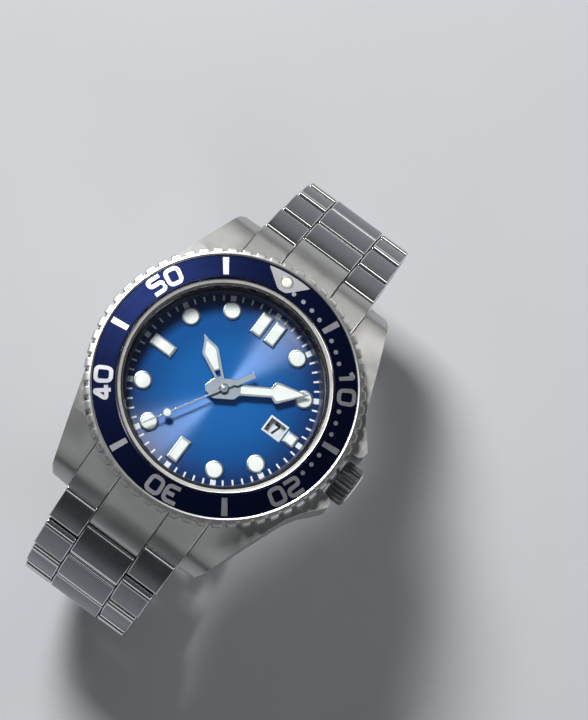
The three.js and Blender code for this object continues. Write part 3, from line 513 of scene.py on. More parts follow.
def case_plan():
    """The case from above, starting at the crown and going round past 12 o'clock."""
    waist_angle = math.degrees(math.acos(LUG_INNER_X / WAIST_RADIUS))
    waist = arc(0, 0, WAIST_RADIUS, waist_angle, 180 - waist_angle, 30)
    flank = math.degrees(math.atan2(FLANK_CORNER[1], FLANK_CORNER[0]))
    left = [(-x, y) for x, y in reversed(LUG_TIP)]
    upper = CROWN_GUARD + LUG_TIP + waist + left + arc(0, 0, CASE_RADIUS, 180 - flank, 180, 10)
    lower = [(x, -y) for x, y in reversed(upper[:-1])]
    return upper + lower


def case_side():
    """The case from the side: the arched back of the lugs and their undersides."""
    top = [(15.2, 8.25)] + flow([(21.0, 5.35), (22.2, 4.55), (23.2, 3.2), (LUG_TIP_Y, 1.8)])
    bottom = [(LUG_TIP_Y, 0.3), (22.9, -0.3), (19.5, 0.2), (17.2, 0.9)]
    half = top + bottom
    return half + [(-y, z) for y, z in reversed(half)]


def make_case():
    body = slab(case_plan(), -2, 9, STEEL)
    body = combine(body, [slab(case_side(), -FAR, FAR, STEEL, axis="X")], "INTERSECT")
    bore = lathe([(0, -1), (16.05, -1), (16.05, 1.5), (15.6, 1.5), (15.6, 2.1), (14.7, 2.1), (14.7, 8.8),
                  (14.1, 8.8), (14.1, 9.1), (15.08, 9.1), (15.08, 12), (0, 12)], STEEL, BORE_STEPS)
    body = cut(body, bore, rod(14, 24, 0, STEM_Z, CROWN_TUBE_HOLE, STEEL))
    bar_y, bar_z = SPRING_BAR
    holes = [rod(*sorted((side * BAR_HOLE_X[0], side * BAR_HOLE_X[1])), end * bar_y, bar_z,
                 BAR_HOLE_RADIUS, STEEL, 20)
             for side in (-1, 1) for end in (-1, 1)]
    body = bevelled(cut(body, *holes), 0.32, look=1)
    neck = lathe([(15.08, 8.0), (15.7, 8.0), (15.7, 10.98, 1), (15.63, 11.02), (15.53, 10.99),
                  (15.14, 10.97, 1), (15.08, 10.87)], [NECK_STEEL_PAINTED_DARK, SATIN])
    return merged([body, smooth(neck, angle=8)])


piece("watch_case", make_case(), "case", ["case"])


KEY_SLOTS = 6  # for the wrench that unscrews the case back


def make_case_back():
    looks = [CIRCLE_BRUSHED, POLISHED]
    lid = lathe([(0, 0.12), (10.2, 0.12), (10.4, 0.0), (13.2, 0.0), (13.4, 0.12), (14.4, 0.12), (14.6, 0),
                 (15.9, 0, 1), (16.25, 0.08, 1), (16.45, 0.25, 1), (16.5, 0.4, 1), (16.5, 0.86), (15.5, 0.86),
                 (15.5, 1.95), (14.9, 1.95), (14.9, 0.95), (0, 0.95)], looks)
    slots = [moved(block((15.2, -1.1, -0.5), (17, 1.1, 0.45), looks), turn_z((i + 0.5) * 360 / KEY_SLOTS))
             for i in range(KEY_SLOTS)]
    return smooth(cut(lid, *slots))


piece("screw_case_back", make_case_back(), "case", ["case_back"])


def make_crystal():
    profile = [(0, 9.15), (14.5, 9.15), (14.74, 9.3), (14.74, 11.14), (14.38, 11.5), (0, 11.5)]
    return smooth(lathe(profile, [GLASS]), angle=8)


def make_flange():
    slope = [(14.55, 7.05), (14.55, 8.7), (14.42, 8.72), (14.36, 8.66), (14.02, 7.1), (14.02, 7.05)]
    return smooth(lathe(slope, [FLANGE]))


piece("crystal_glass_disc", make_crystal(), "case", ["crystal"])
piece("flange_ring", make_flange(), "case", ["rehaut_ring"])


# ---- bezel ----

BEZEL_NOTCHES = 60
STEPS_PER_NOTCH = 16
NOTCH_DEPTH = 0.52
NOTCH_START = 0.5  # where on the wave round the rim a notch starts to sink
NOTCH_RAMP = 0.42  # how much of the wave it takes to reach its full depth
INSERT_INNER = 15.95
INSERT_OUTER = 19.2
INSERT_RISE = (11.0, 10.68)  # height of the insert's face at its inner and outer edges
PRINT_HEIGHT = 0.02


def bezel_notch(angle):
    """How far a point of the rim is set back: a rounded scallop between two broad teeth."""
    wave = (1 + math.cos(angle * BEZEL_NOTCHES)) / 2
    share = min(1, max(0, (wave - NOTCH_START) / NOTCH_RAMP))
    return NOTCH_DEPTH * share * share * (3 - 2 * share)


def make_bezel_ring():
    profile = [
        (INSERT_INNER, 10.3), (19.25, 10.3), (19.25, 10.75), (19.31, 10.8), (19.52, 10.85), (19.8, 10.8),
        (20.3, 10.68, 1, 1), (20.38, 10.63, 1, 1), (20.45, 10.54, 1, 1), (20.49, 10.42, 1, 1),
        (20.5, 10.3, 1, 1), (20.5, 9.0, 1, 1), (20.42, 8.7, 1, 1), (20.25, 8.5, 1, 1), (19.4, 8.5),
        (INSERT_INNER, 8.5), (INSERT_INNER, 8.95), (16.3, 8.95), (16.3, 9.6), (INSERT_INNER, 9.6),
    ]
    ring = lathe(profile, [RIM_SATIN, RIM_FLANK], BEZEL_NOTCHES * STEPS_PER_NOTCH, bezel_notch)
    return smooth(ring, angle=22)


def make_insert():
    inner, outer = INSERT_RISE
    profile = [(INSERT_INNER, 10.35), (INSERT_OUTER, 10.35), (INSERT_OUTER, outer - 0.06),
               (INSERT_OUTER - 0.06, outer), (INSERT_INNER + 0.08, inner), (INSERT_INNER, inner - 0.05)]
    return smooth(lathe(profile, [INSERT]))


piece("bezel_grip_ring", make_bezel_ring(), "bezel", ["bezel_ring"])
piece("bezel_insert_ring", make_insert(), "bezel", ["bezel_insert"])

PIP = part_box("bezel_lume_pip")
PIP_MIDDLE = (PIP[0] + PIP[1]) / 2 / MM
PIP_DISTANCE = math.hypot(PIP_MIDDLE.x, PIP_MIDDLE.y)
PIP_RADIUS = (PIP[1].x - PIP[0].x) / 2 / MM
BEZEL_REST = turn_z(math.degrees(math.atan2(-PIP_MIDDLE.x, PIP_MIDDLE.y)))


def insert_top(radius):
    """The height of the sloping insert at a radius."""
    share = (radius - INSERT_INNER) / (INSERT_OUTER - INSERT_INNER)
    return INSERT_RISE[0] + share * (INSERT_RISE[1] - INSERT_RISE[0])


def rounded(path, radius, closed=False, steps=5):
    """A path of points with its corners rounded."""
    result = [] if closed else [path[0]]
    count = len(path)
    for i in range(count) if closed else range(1, count - 1):
        before, corner, after = (Vector(path[(i + k) % count]) for k in (-1, 0, 1))
        into = (before - corner).normalized()
        out = (after - corner).normalized()
        reach = min(radius, (before - corner).length / 2, (after - corner).length / 2)
        start, end = corner + into * reach, corner + out * reach
        for step in range(steps + 1):
            t = step / steps
            result.append(tuple((1 - t) ** 2 * start + 2 * t * (1 - t) * corner + t * t * end))
    return result if closed else result + [path[-1]]


def stroke(path, width, closed, raise_point, looks):
    """A printed line of even width along a path. raise_point(x, y, top) places its edges in space."""
    count = len(path)
    edges = []
    for i in range(count):
        before = Vector(path[i - 1 if closed or i else 0])
        after = Vector(path[(i + 1) % count if closed or i < count - 1 else i])
        here = Vector(path[i])
        into = here - before
        out = after - here
        if into.length == 0:  # the first end of an open path
            into = out
        if out.length == 0:  # its last end
            out = into
        normals = [Vector((-d.y, d.x)).normalized() for d in (into, out)]
        mitre = (normals[0] + normals[1]).normalized()
        reach = width / 2 / max(0.5, mitre.dot(normals[0]))
        edges.append((here + mitre * reach, here - mitre * reach))
    points, faces = [], []
    for left, right in edges:
        for side, top in ((left, True), (right, True), (right, False), (left, False)):
            points.append(raise_point(side.x, side.y, top))
    for i in range(count if closed else count - 1):
        here, there = 4 * i, 4 * ((i + 1) % count)
        faces += [[here + k, here + (k + 1) % 4, there + (k + 1) % 4, there + k] for k in range(4)]
    if not closed:
        faces += [[0, 1, 2, 3], [4 * count - 4 + k for k in range(4)]]
    return make_mesh(points, faces, looks)


DIGIT_ROUND = 0.36  # radius of a digit's corners, as a share of its width

# Each digit as strokes in a box one wide and one high: (points, closed)
DIGITS = {
    "0": [([(0, 0), (1, 0), (1, 1), (0, 1)], True)],
    "1": [([(0.1, 0.8), (0.5, 1), (0.5, 0)], False)],
    "2": [([(0, 1), (1, 1), (1, 0.52), (0, 0.48), (0, 0), (1.1, 0)], False)],
    "3": [([(0, 1), (1, 1), (1, 0), (0, 0)], False), ([(0.3, 0.5), (0.98, 0.5)], False)],
    "4": [([(0.72, 0), (0.72, 1), (0.6, 1), (0, 0.3), (1.1, 0.3)], False)],
    "5": [([(1, 1), (0, 1), (0, 0.56), (1, 0.56), (1, 0), (-0.05, 0)], False)],
    "6": [([(1, 1), (0, 1), (0, 0), (1, 0), (1, 0.55), (0.05, 0.55)], False)],
    "7": [([(0, 1), (1, 1), (0.4, 0)], False)],
    "8": [([(0, 0), (1, 0), (1, 1), (0, 1)], True), ([(0.02, 0.5), (0.98, 0.5)], False)],
    "9": [([(0, 0), (1, 0), (1, 1), (0, 1), (0, 0.45), (0.95, 0.45)], False)],
}


def numeral(text, width, height, gap, line, raise_point, looks):
    """Digits side by side, centred on (0, 0)."""
    meshes = []
    start = -(len(text) * width + (len(text) - 1) * gap) / 2
    for i, digit in enumerate(text):
        left = start + i * (width + gap)
        for path, closed in DIGITS[digit]:
            scaled = [(left + x * width, (y - 0.5) * height) for x, y in path]
            soft = rounded(scaled, DIGIT_ROUND * width, closed)
            meshes.append(stroke(soft, line, closed, raise_point, looks))
    return meshes


def on_insert(minute, radius):
    """Bends a flat print onto the sloping insert, at a minute and with its middle at a radius."""
    def raise_point(x, y, top):
        reach = radius + y
        angle = math.radians(90 - minute * 6) - x / radius
        level = insert_top(reach) + (PRINT_HEIGHT if top else -PRINT_HEIGHT)
        return reach * math.cos(angle), reach * math.sin(angle), level
    return raise_point


NUMERAL = {"width": 1.95, "height": 2.22, "gap": 0.82, "line": 0.6}
NUMERAL_RADIUS = 17.66
BAR = {"radius": 17.65, "length": 2.6, "width": 0.86}
DOT = {"radius": 16.85, "size": 0.33}
DOTTED_MINUTES = [1, 2, 3, 4, 6, 7, 8, 12, 13, 14, 16, 17, 18]


def make_insert_print():
    looks = [SILVER]
    meshes = []
    for minute in range(10, 60, 10):
        meshes += numeral(str(minute), **NUMERAL, raise_point=on_insert(minute, NUMERAL_RADIUS), looks=looks)
    half = BAR["length"] / 2
    for minute in range(5, 60, 10):
        ends = [(0, -half), (0, half)]
        meshes.append(stroke(ends, BAR["width"], False, on_insert(minute, BAR["radius"]), looks))
    for minute in DOTTED_MINUTES:
        place = on_insert(minute, DOT["radius"])
        rim = arc(0, 0, DOT["size"] / 2, 0, 360, 20)[:-1]
        meshes.append(stroke(rim, DOT["size"], True, place, looks))
    return moved(merged(meshes), BEZEL_REST)


piece("bezel_numerals_and_bars", make_insert_print(), "bezel")


ZERO_MARK = {"radius": 18.98, "half_angle": 10.4, "tip_radius": 16.2, "half_tip": 0.66, "round": 0.4}
ZERO_MARK_HEIGHT = 0.05
PIP_STEPS = 48


def make_zero_mark():
    """A tapering plate with an arched outer edge, and a hole with a raised rim for the pip."""
    radius, half_angle = ZERO_MARK["radius"], ZERO_MARK["half_angle"]
    tip, half_tip = ZERO_MARK["tip_radius"], ZERO_MARK["half_tip"]
    top = arc(0, 0, radius, 90 + half_angle, 90 - half_angle, 16)
    outline = rounded(top + [(half_tip, tip), (-half_tip, tip)], ZERO_MARK["round"], closed=True, steps=3)
    low = [(x, y, insert_top(math.hypot(x, y)) - PRINT_HEIGHT) for x, y in outline]
    high = [(x, y, insert_top(math.hypot(x, y)) + ZERO_MARK_HEIGHT) for x, y in outline]
    plate = make_mesh(low + high, slab_faces(len(outline)), [SILVER])
    inner, outer = PIP_RADIUS + 0.04, PIP_RADIUS + 0.2
    hole = lathe([(0, 10), (inner, 10), (inner, 12), (0, 12)], [SILVER], PIP_STEPS)
    # The pip's rim takes the darkened crown steel: painted shade that dims the highlight the rim would catch.
    rim = lathe([(inner, 10.6), (outer, 10.6), (outer, 11.0), (outer - 0.06, 10.96), (inner + 0.04, 10.96),
                 (inner, 10.93)], [CROWN_STEEL_PAINTED_DARK], PIP_STEPS)
    to_pip = shift(0, PIP_DISTANCE, 0)
    plate = smooth(cut(plate, moved(hole, to_pip)), angle=20)
    return moved(merged([plate, smooth(moved(rim, to_pip))]), BEZEL_REST)


def make_pip():
    dome = [(0, 10.4), (PIP_RADIUS, 10.4), (PIP_RADIUS, 10.93), (PIP_RADIUS * 0.9, 11.0),
            (PIP_RADIUS * 0.6, 11.06), (0, 11.09)]
    place = BEZEL_REST @ shift(0, PIP_DISTANCE, 0)
    return smooth(moved(lathe(dome, [PIP_LUME], PIP_STEPS), place), angle=40)


piece("bezel_zero_mark", make_zero_mark(), "bezel")
piece("bezel_pip", make_pip(), "bezel", ["bezel_lume_pip"])


# ---- dial ----

DIAL_TOP = 7.0
MARKER_TOP = 7.35
BAR_LUME_TOP = 7.28
MARKER_DISTANCE = 11.8
ROUND_HOURS = [1, 2, 4, 5, 7, 8, 10, 11]
BAR_MARKERS = [
    {"turn": 0, "x": 1.2, "distance": 11.1, "width": 1.9, "length": 3.7, "lume": (1.28, 2.9)},
    {"turn": 0, "x": -1.2, "distance": 11.1, "width": 1.9, "length": 3.7, "lume": (1.28, 2.9)},
    {"turn": 90, "x": 0, "distance": 12.12, "width": 2.0, "length": 2.0, "lume": (1.3, 1.3)},
    {"turn": 180, "x": 0, "distance": 10.9, "width": 1.95, "length": 4.0, "lume": (1.3, 3.1)},
    {"turn": 270, "x": 0, "distance": 10.9, "width": 1.95, "length": 4.0, "lume": (1.3, 3.1)},
]
TRACK_RADIUS = 13.62
TRACK = {"tick": (0.26, 0.78), "square": (0.82, 0.78)}
DATE_X = 9.4
DATE_WINDOW = (1.32, 1.05)  # half its width and half its height


def on_dial(angle, distance):
    """A place on the dial, with its own Y axis pointing away from the dial's middle."""
    return turn_z(-angle) @ shift(0, distance, 0)


def framed(width, length, inner, bottom, top, looks, x=0, y=0):
    """A rectangular frame with bevelled faces round an opening."""
    outer_x, outer_y = width / 2, length / 2
    inner_x, inner_y = inner[0] / 2, inner[1] / 2
    edge = 0.12
    levels = [(outer_x, outer_y, bottom), (outer_x, outer_y, top - 0.16),
              (outer_x - edge, outer_y - edge, top - 0.02), (inner_x + edge / 2, inner_y + edge / 2, top),
              (inner_x, inner_y, top - edge), (inner_x, inner_y, bottom)]
    corners = ((-1, -1), (1, -1), (1, 1), (-1, 1))
    points = [(x + side_x * w, y + side_y * h, z) for w, h, z in levels for side_x, side_y in corners]
    faces = []
    for level in range(len(levels)):
        here, there = 4 * level, 4 * ((level + 1) % len(levels))
        faces += [[here + k, here + (k + 1) % 4, there + (k + 1) % 4, there + k] for k in range(4)]
    return make_mesh(points, faces, looks)


def make_dial_plate():
    plate = lathe([(1.35, 6.6), (14.55, 6.6), (14.55, DIAL_TOP), (1.4, DIAL_TOP), (1.35, 6.95)], [DIAL])
    half_x, half_y = DATE_WINDOW
    window = block((DATE_X - half_x, -half_y, 6), (DATE_X + half_x, half_y, 8), [DIAL])
    return smooth(cut(plate, window))


def make_markers():
    """The hour markers' frames, and the luminous paint inside them."""
    frames, lumes = [], []
    foot = DIAL_TOP - 0.02
    for hour in ROUND_HOURS:
        ring = lathe([(1.08, foot), (1.42, foot), (1.42, 7.16), (1.32, 7.3), (1.14, MARKER_TOP),
                      (1.08, 7.28)], [FRAME_STEEL], 64)
        paint = lathe([(0, DIAL_TOP), (1.09, DIAL_TOP), (1.09, 7.26), (0.9, 7.3), (0.5, 7.33), (0, 7.34)],
                      [LUME_PAINTED_GLOW], 48)
        place = on_dial(hour * 30, MARKER_DISTANCE)
        frames.append(smooth(moved(ring, place), angle=25))
        lumes.append(smooth(moved(paint, place), angle=40))
    for spec in BAR_MARKERS:
        border = framed(spec["width"], spec["length"], spec["lume"], foot, MARKER_TOP, [FRAME_STEEL])
        half_x, half_y = spec["lume"][0] / 2, spec["lume"][1] / 2
        fill = block((-half_x, -half_y, DIAL_TOP), (half_x, half_y, BAR_LUME_TOP), [LUME_PAINTED_GLOW])
        place = on_dial(spec["turn"], spec["distance"]) @ shift(spec["x"], 0, 0)
        frames.append(moved(border, place))
        lumes.append(bevelled(moved(fill, place), 0.05))
    return merged(frames), merged(lumes)


def make_track():
    meshes = []
    for minute in range(60):
        kind = "square" if minute % 5 == 0 else "tick"
        half_x, half_y = TRACK[kind][0] / 2, TRACK[kind][1] / 2
        mark = block((-half_x, -half_y, DIAL_TOP - PRINT_HEIGHT), (half_x, half_y, DIAL_TOP + PRINT_HEIGHT),
                     [WHITE])
        meshes.append(moved(mark, on_dial(minute * 6, TRACK_RADIUS)))
    return merged(meshes)


piece("sunburst_dial", make_dial_plate(), "case", ["dial"])
marker_frames, marker_lume = make_markers()
piece("hour_marker_frames", marker_frames, "case")
piece("hour_marker_lume", marker_lume, "case")
piece("minute_track", make_track(), "case")
date_frame = framed(3.3, 2.8, (2.6, 2.06), 6.62, 7.1, [WHITE], x=DATE_X)
piece("date_window_frame", date_frame, "case")

DATE_COUNT = 31
DATE_TODAY = 7
DATE_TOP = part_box("date_disc")[1].z / MM
DATE_NUMERAL = {"width": 0.84, "height": 1.5, "gap": 0.34, "line": 0.34}


def on_date_disc(day):
    """Places a flat print on the disc, level when its day reaches the window."""
    angle = TURN * (DATE_TODAY - day) / DATE_COUNT

    def raise_point(x, y, top):
        out = DATE_X + x
        level = DATE_TOP + (PRINT_HEIGHT if top else -PRINT_HEIGHT)
        turned_x = out * math.cos(angle) - y * math.sin(angle)
        return turned_x, out * math.sin(angle) + y * math.cos(angle), level
    return raise_point


def make_date_numerals():
    """The days of the month round the disc."""
    meshes = []
    for day in range(1, DATE_COUNT + 1):
        meshes += numeral(str(day), **DATE_NUMERAL, raise_point=on_date_disc(day), looks=[INK])
    return merged(meshes)


piece("date_numerals", make_date_numerals(), "date_disc")


# ---- hands ----

HOUR_ANGLE = 304.8
MINUTE_ANGLE = 57.5
SECOND_ANGLE = 210
SECOND_DOT_Y = 9.0


def mirrored(half):
    """A whole outline from its right half, listed from tail to tip."""
    return half + [(-x, y) for x, y in reversed(half) if x > 0]


def lume_fill(outline, bottom, top):
    """Luminous paint in a hand's opening."""
    return bevelled(slab(outline, bottom, top, [LUME_PAINTED_GLOW]), 0.03, segments=1, angle=25)


def disc(radius, low, high, steps):
    """A round plate, also used as the tool that bores a hand for its post."""
    return lathe([(0, low), (radius, low), (radius, high), (0, high)], HAND, steps)


def make_hour_hand():
    low, high = 7.55, 7.75
    half = [(0.5, -1.2), (0.58, 1.5), (1.22, 5.85), (1.12, 6.3), (0.3, 7.75), (0.03, 8.6)]
    window = mirrored([(0.3, 1.95), (0.42, 2.95)])
    inlay = mirrored([(0.33, 3.15), (0.86, 5.85), (0.76, 6.2), (0.06, 7.45)])
    plate = slab(mirrored(half), low, high, HAND)
    hub = disc(1.3, low, high, 64)
    openings = [slab(window, 7, 8, HAND), slab(inlay, 7.62, 8, HAND), disc(1.13, 7, 8, 48)]
    plate = cut(joined(plate, hub), *openings)
    return bevelled(plate, 0.05, look=1, segments=2), lume_fill(inlay, 7.6, 7.745)


def make_minute_hand():
    low, high = 8.0, 8.2
    half = [(0.42, -2.75), (1.52, -1.55), (1.52, 1.5), (0.84, 2.35), (0.78, 6.95), (1.05, 7.1), (1.62, 7.55),
            (1.62, 7.85), (0.05, 12.4)]
    bar = mirrored([(0.52, 2.45), (0.5, 7.1)])
    tip = mirrored([(0.5, 7.1), (1.25, 7.72), (1.22, 7.95), (0.12, 11.5)])
    plate = slab(mirrored(half), low, high, HAND)
    plate = cut(plate, slab(bar, 8.07, 9, HAND), slab(tip, 8.07, 9, HAND), disc(0.73, 7, 9, 48))
    fill = merged([lume_fill(opening, 8.05, 8.195) for opening in (bar, tip)])
    return bevelled(plate, 0.05, look=1, segments=2), fill


def make_second_hand():
    low, high = 8.45, 8.6
    half = [(0.42, -4.9), (0.42, -1.9), (0.14, -1.6), (0.11, 8.3), (0.1, 12.9)]
    needle = slab(mirrored(half), low, high, HAND)
    hub = lathe([(0, low), (0.66, low), (0.66, high), (0.52, high + 0.1), (0.34, high + 0.1),
                 (0.3, high + 0.16), (0, high + 0.2)], HAND, 48)
    to_dot = shift(0, SECOND_DOT_Y, 0)
    plate = cut(joined(needle, hub, moved(disc(0.62, low, high, 40), to_dot)), disc(0.23, 8, 8.71, 32))
    dot = lathe([(0, high - 0.02), (0.52, high - 0.02), (0.5, high + 0.03), (0.3, high + 0.06),
                 (0, high + 0.07)], [LUME_PAINTED_GLOW], 40)
    return bevelled(plate, 0.04, look=1, segments=2), smooth(moved(dot, to_dot), angle=50)


for hand, angle, body, node, make in [
    ("hour", HOUR_ANGLE, "hours", "hour_hand", make_hour_hand),
    ("minute", MINUTE_ANGLE, "minutes", "minute_hand", make_minute_hand),
    ("second", SECOND_ANGLE, "seconds", "second_hand", make_second_hand),
]:
    plate, fill = make()
    piece(f"{hand}_hand_plate", moved(plate, turn_z(-angle)), body, [node])
    piece(f"{hand}_hand_lume", moved(fill, turn_z(-angle)), body)


# ---- crown ----

CROWN_RIDGES = 26
STEPS_PER_RIDGE = 10
RIDGE_DEPTH = 0.26
RIDGE_SHARPNESS = 1.6
CROWN_INNER_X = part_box("crown")[0].x / MM
CROWN_OUTER_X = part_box("crown")[1].x / MM


def crown_ridge(angle):
    """How far a point of the crown's side is set back: a groove between two broader ridges."""
    wave = (1 + math.cos(angle * CROWN_RIDGES)) / 2
    return RIDGE_DEPTH * wave ** RIDGE_SHARPNESS


def make_crown():
    """The crown, turned about Z from its inner to its outer end and then laid along X."""
    near, far = CROWN_INNER_X, CROWN_OUTER_X
    grip = [(2.75, near + 0.12, 0), (3.0, near + 0.3, 0.4), (3.1, near + 0.5, 1), (3.1, far - 0.75, 1),
            (3.02, far - 0.58, 0.7), (2.86, far - 0.46, 0)]
    profile = [(1.75, near + 0.1), (2.65, near, 1)] + [(r, x, 0, share) for r, x, share in grip]
    profile += [(2.8, far - 0.36, 1), (2.5, far - 0.2, 1), (2.0, far - 0.09, 1), (1.2, far - 0.02, 1),
                (0.02, far, 1), (0.02, near + 2.0), (1.75, near + 2.0)]
    turned = lathe(profile, [CROWN_STEEL_PAINTED_DARK, POLISHED], CROWN_RIDGES * STEPS_PER_RIDGE, crown_ridge)
    return moved(smooth(turned, angle=32), Matrix.Rotation(math.radians(90), 4, "Y"))


piece("fluted_crown", make_crown(), "crown", ["crown"], shift(0, 0, STEM_Z))


# ---- bracelet ----

PITCH = 7
LINKS_PER_SIDE = 7
HALF_THICKNESS = 1.6
CENTRE_HALF_WIDTH = 4.25
ROW_GAP = 0.15
FIRST_LINK_WIDTH = 19.6
LINK_TAPER = 0.5
PIN_RADIUS = 0.6
END_REACH = 1.55  # how far a row's rounded end reaches past its pin
END_STOP = 1.85  # how far from the next pin its straight end stops
END_ROUND = 0.9
STOP_ROUND = 0.5
ROW_CROWN = 0.22  # how far a row's outer face bulges
CROWN_STEPS = 8
WEB = ((2.6, 4.4), 0.7)  # along the link and half its height: the bar that joins the three rows
PIN_HEAD = {"y": 3.4, "radius": 0.5, "sunk": 1.0, "proud": 0.03}
LOOP_CENTRE = Vector((0, 0, -0.018))  # in metres: a point inside the closed loop


def row_outline(start, end, round_start, round_end):
    """A row from the side, with each wall's material: brushed flats and polished corners."""
    half = HALF_THICKNESS
    shoulder = half - ROW_CROWN
    points, looks = [], []

    def put(new, look):
        points.extend(new)
        looks.extend([look] * len(new))

    first = END_ROUND if round_start else STOP_ROUND
    last = END_ROUND if round_end else STOP_ROUND
    if round_start:
        put(arc(start + END_REACH, -0.05, END_REACH, 270, 180, 8), 0)
    else:
        put([(start + 0.3, -half), (start, -half + 0.3)], 0)
    put(arc(start + first, shoulder - first, first, 180, 100, 6)[:-1], 1)
    left, right = start + first, end - last
    for step in range(CROWN_STEPS + 1):
        share = step / CROWN_STEPS
        put([(left + (right - left) * share, shoulder + 4 * ROW_CROWN * share * (1 - share))], 0)
    looks[-1] = 1
    put(arc(end - last, shoulder - last, last, 80, 0, 6)[:-1], 1)
    put([(end, shoulder - last)], 0)
    if round_end:
        put(arc(end - END_REACH, -0.05, END_REACH, 0, -90, 8), 0)
    else:
        put([(end, -half + 0.3), (end - 0.3, -half)], 0)
    return points, looks


def make_row(x0, x1, start, end, round_start, round_end):
    points, looks = row_outline(start, end, round_start, round_end)
    return bevelled(slab(points, x0, x1, LINK, looks, axis="X"), 0.16, look=1, segments=2, angle=50)


def make_link(width):
    """Two outer rows, and between them a centre row that reaches over the next pin."""
    inner = CENTRE_HALF_WIDTH + ROW_GAP
    hidden = inner + 1  # where the web and the pin end inside the outer rows
    outer = width / 2
    (web_start, web_end), web_half = WEB
    parts = [
        make_row(inner, outer, -END_REACH, PITCH - END_STOP, True, False),
        make_row(-outer, -inner, -END_REACH, PITCH - END_STOP, True, False),
        make_row(-CENTRE_HALF_WIDTH, CENTRE_HALF_WIDTH, END_STOP, PITCH + END_REACH, False, True),
        block((-hidden, web_start, -web_half), (hidden, web_end, web_half), LINK),
        rod(-hidden, hidden, 0, 0, PIN_RADIUS, LINK, 24),
    ]
    for side in (-1, 1):
        ends = sorted((side * (outer - PIN_HEAD["sunk"]), side * (outer + PIN_HEAD["proud"])))
        parts.append(rod(*ends, PIN_HEAD["y"], 0, PIN_HEAD["radius"], [POLISHED, POLISHED], 24))
    return merged(parts)


def link_place(node, pin):
    """The link's own axes at its pin: X across, Y along the bracelet and Z outward.

    The largest face of the CAD link that isn't one of its sides is its outer or inner face.
    """
    mesh = frame["nodes"][node].data
    flats = [p for p in mesh.polygons if abs(p.normal.x) < 0.1]
    outward = max(flats, key=lambda p: p.area).normal.copy()
    middle = sum((v.co for v in mesh.vertices), Vector()) / len(mesh.vertices)
    if outward.dot(middle - LOOP_CENTRE) < 0:
        outward.negate()
    along = Vector((0, outward.z, -outward.y))
    if along.dot(middle - pin) < 0:
        along.negate()
    across = along.cross(outward)
    return Matrix.Translation(pin) @ Matrix((across, along, outward)).transposed().to_4x4()


pins = {joint["child"]: Vector(joint["pos_m"]) for joint in frame["joints"] if "pos_m" in joint}
for side in ("12", "6"):
    for index in range(LINKS_PER_SIDE):
        node = f"link_{side}_{index + 1}"
        link = make_link(FIRST_LINK_WIDTH - index * LINK_TAPER)
        piece(f"bracelet_{node}", link, node, [node], link_place(node, pins[node]))

END_LINK_SLOPE = math.radians(45)
FIRST_PIN = (24.5, 1.0)
PIN_HOLE_RADIUS = 0.78
BAR_CLEARANCE_RADIUS = 0.85
END_LINK_HALF_WIDTH = 10.0


def end_place(along, out):
    """A point given along the end link's slope and out of it, from the first pin."""
    return (FIRST_PIN[0] + along * math.cos(END_LINK_SLOPE) + out * math.sin(END_LINK_SLOPE),
            FIRST_PIN[1] - along * math.sin(END_LINK_SLOPE) + out * math.cos(END_LINK_SLOPE))


def make_end_link():
    """The solid piece between the lugs, in three rows divided by grooves."""
    half = HALF_THICKNESS
    crest = [(17.0, 7.8)] + flow([(21.8, 5.5), (22.6, 5.0), (23.4, 4.3), end_place(-END_STOP, half - 0.1)])
    ridge = [(17.0, 7.8)] + flow([(21.8, 5.5), (23.2, 4.72), (24.6, 3.7), (25.7, 2.55), (26.25, 1.65),
                                  end_place(END_REACH, half - 0.5)])
    under = [end_place(-END_STOP, -half), (19.6, 0.9), (17.0, 1.4)]
    nose = [end_place(x, z - 0.05) for x, z in arc(0, 0, END_REACH, 0, -90, 10)]
    tail = ridge + nose + [end_place(-2.4, -half), (18.5, 2.2)]
    clear = WAIST_RADIUS + 0.3
    waist = lathe([(0, -2), (clear, -2), (clear, 12), (0, 12)], STEEL)
    pin_hole = rod(-6, 6, *FIRST_PIN, PIN_HOLE_RADIUS, STEEL)
    bar_hole = rod(-12, 12, *SPRING_BAR, BAR_CLEARANCE_RADIUS, STEEL)
    side = CENTRE_HALF_WIDTH + ROW_GAP
    rows = [slab(crest + under, side, END_LINK_HALF_WIDTH, STEEL, axis="X"),
            slab(crest + under, -END_LINK_HALF_WIDTH, -side, STEEL, axis="X"),
            slab(tail, -CENTRE_HALF_WIDTH, CENTRE_HALF_WIDTH, STEEL, axis="X")]
    rows = [bevelled(cut(row, waist, pin_hole, bar_hole), 0.13, look=1, segments=2, angle=40) for row in rows]
    web = [(19.2, 1.6), (22.2, 0.4), (23.4, 1.6), (22.0, 4.0), (19.2, 5.6)]
    return merged(rows + [cut(slab(web, -side - 0.5, side + 0.5, STEEL, axis="X"), bar_hole)])


piece("end_link_12_rows", make_end_link(), "case", ["end_link_12"])
piece("end_link_6_rows", moved(make_end_link(), turn_z(180)), "case", ["end_link_6"])


# ---- CAD pieces that keep their shape ----

WELD_DISTANCE = 0.000001  # in metres


def dress(node, look, edge=None, edge_look=None):
    """Gives a CAD piece a material, and rounds its edges by a width in millimetres."""
    thing = frame["nodes"][node]
    thing.data.materials.clear()
    thing.data.materials.append(look)
    thing.data.materials.append(edge_look or look)
    for polygon in thing.data.polygons:
        polygon.material_index = 0
    thing.data.shade_smooth()
    weld = thing.modifiers.new("weld", "WELD")
    weld.merge_threshold = WELD_DISTANCE
    if edge:
        bevel = thing.modifiers.new("bevel", "BEVEL")
        bevel.width = edge * MM
        bevel.segments = 3
        bevel.limit_method = "ANGLE"
        bevel.angle_limit = math.radians(30)
        bevel.harden_normals = True
        bevel.use_clamp_overlap = True
        bevel.material = 1


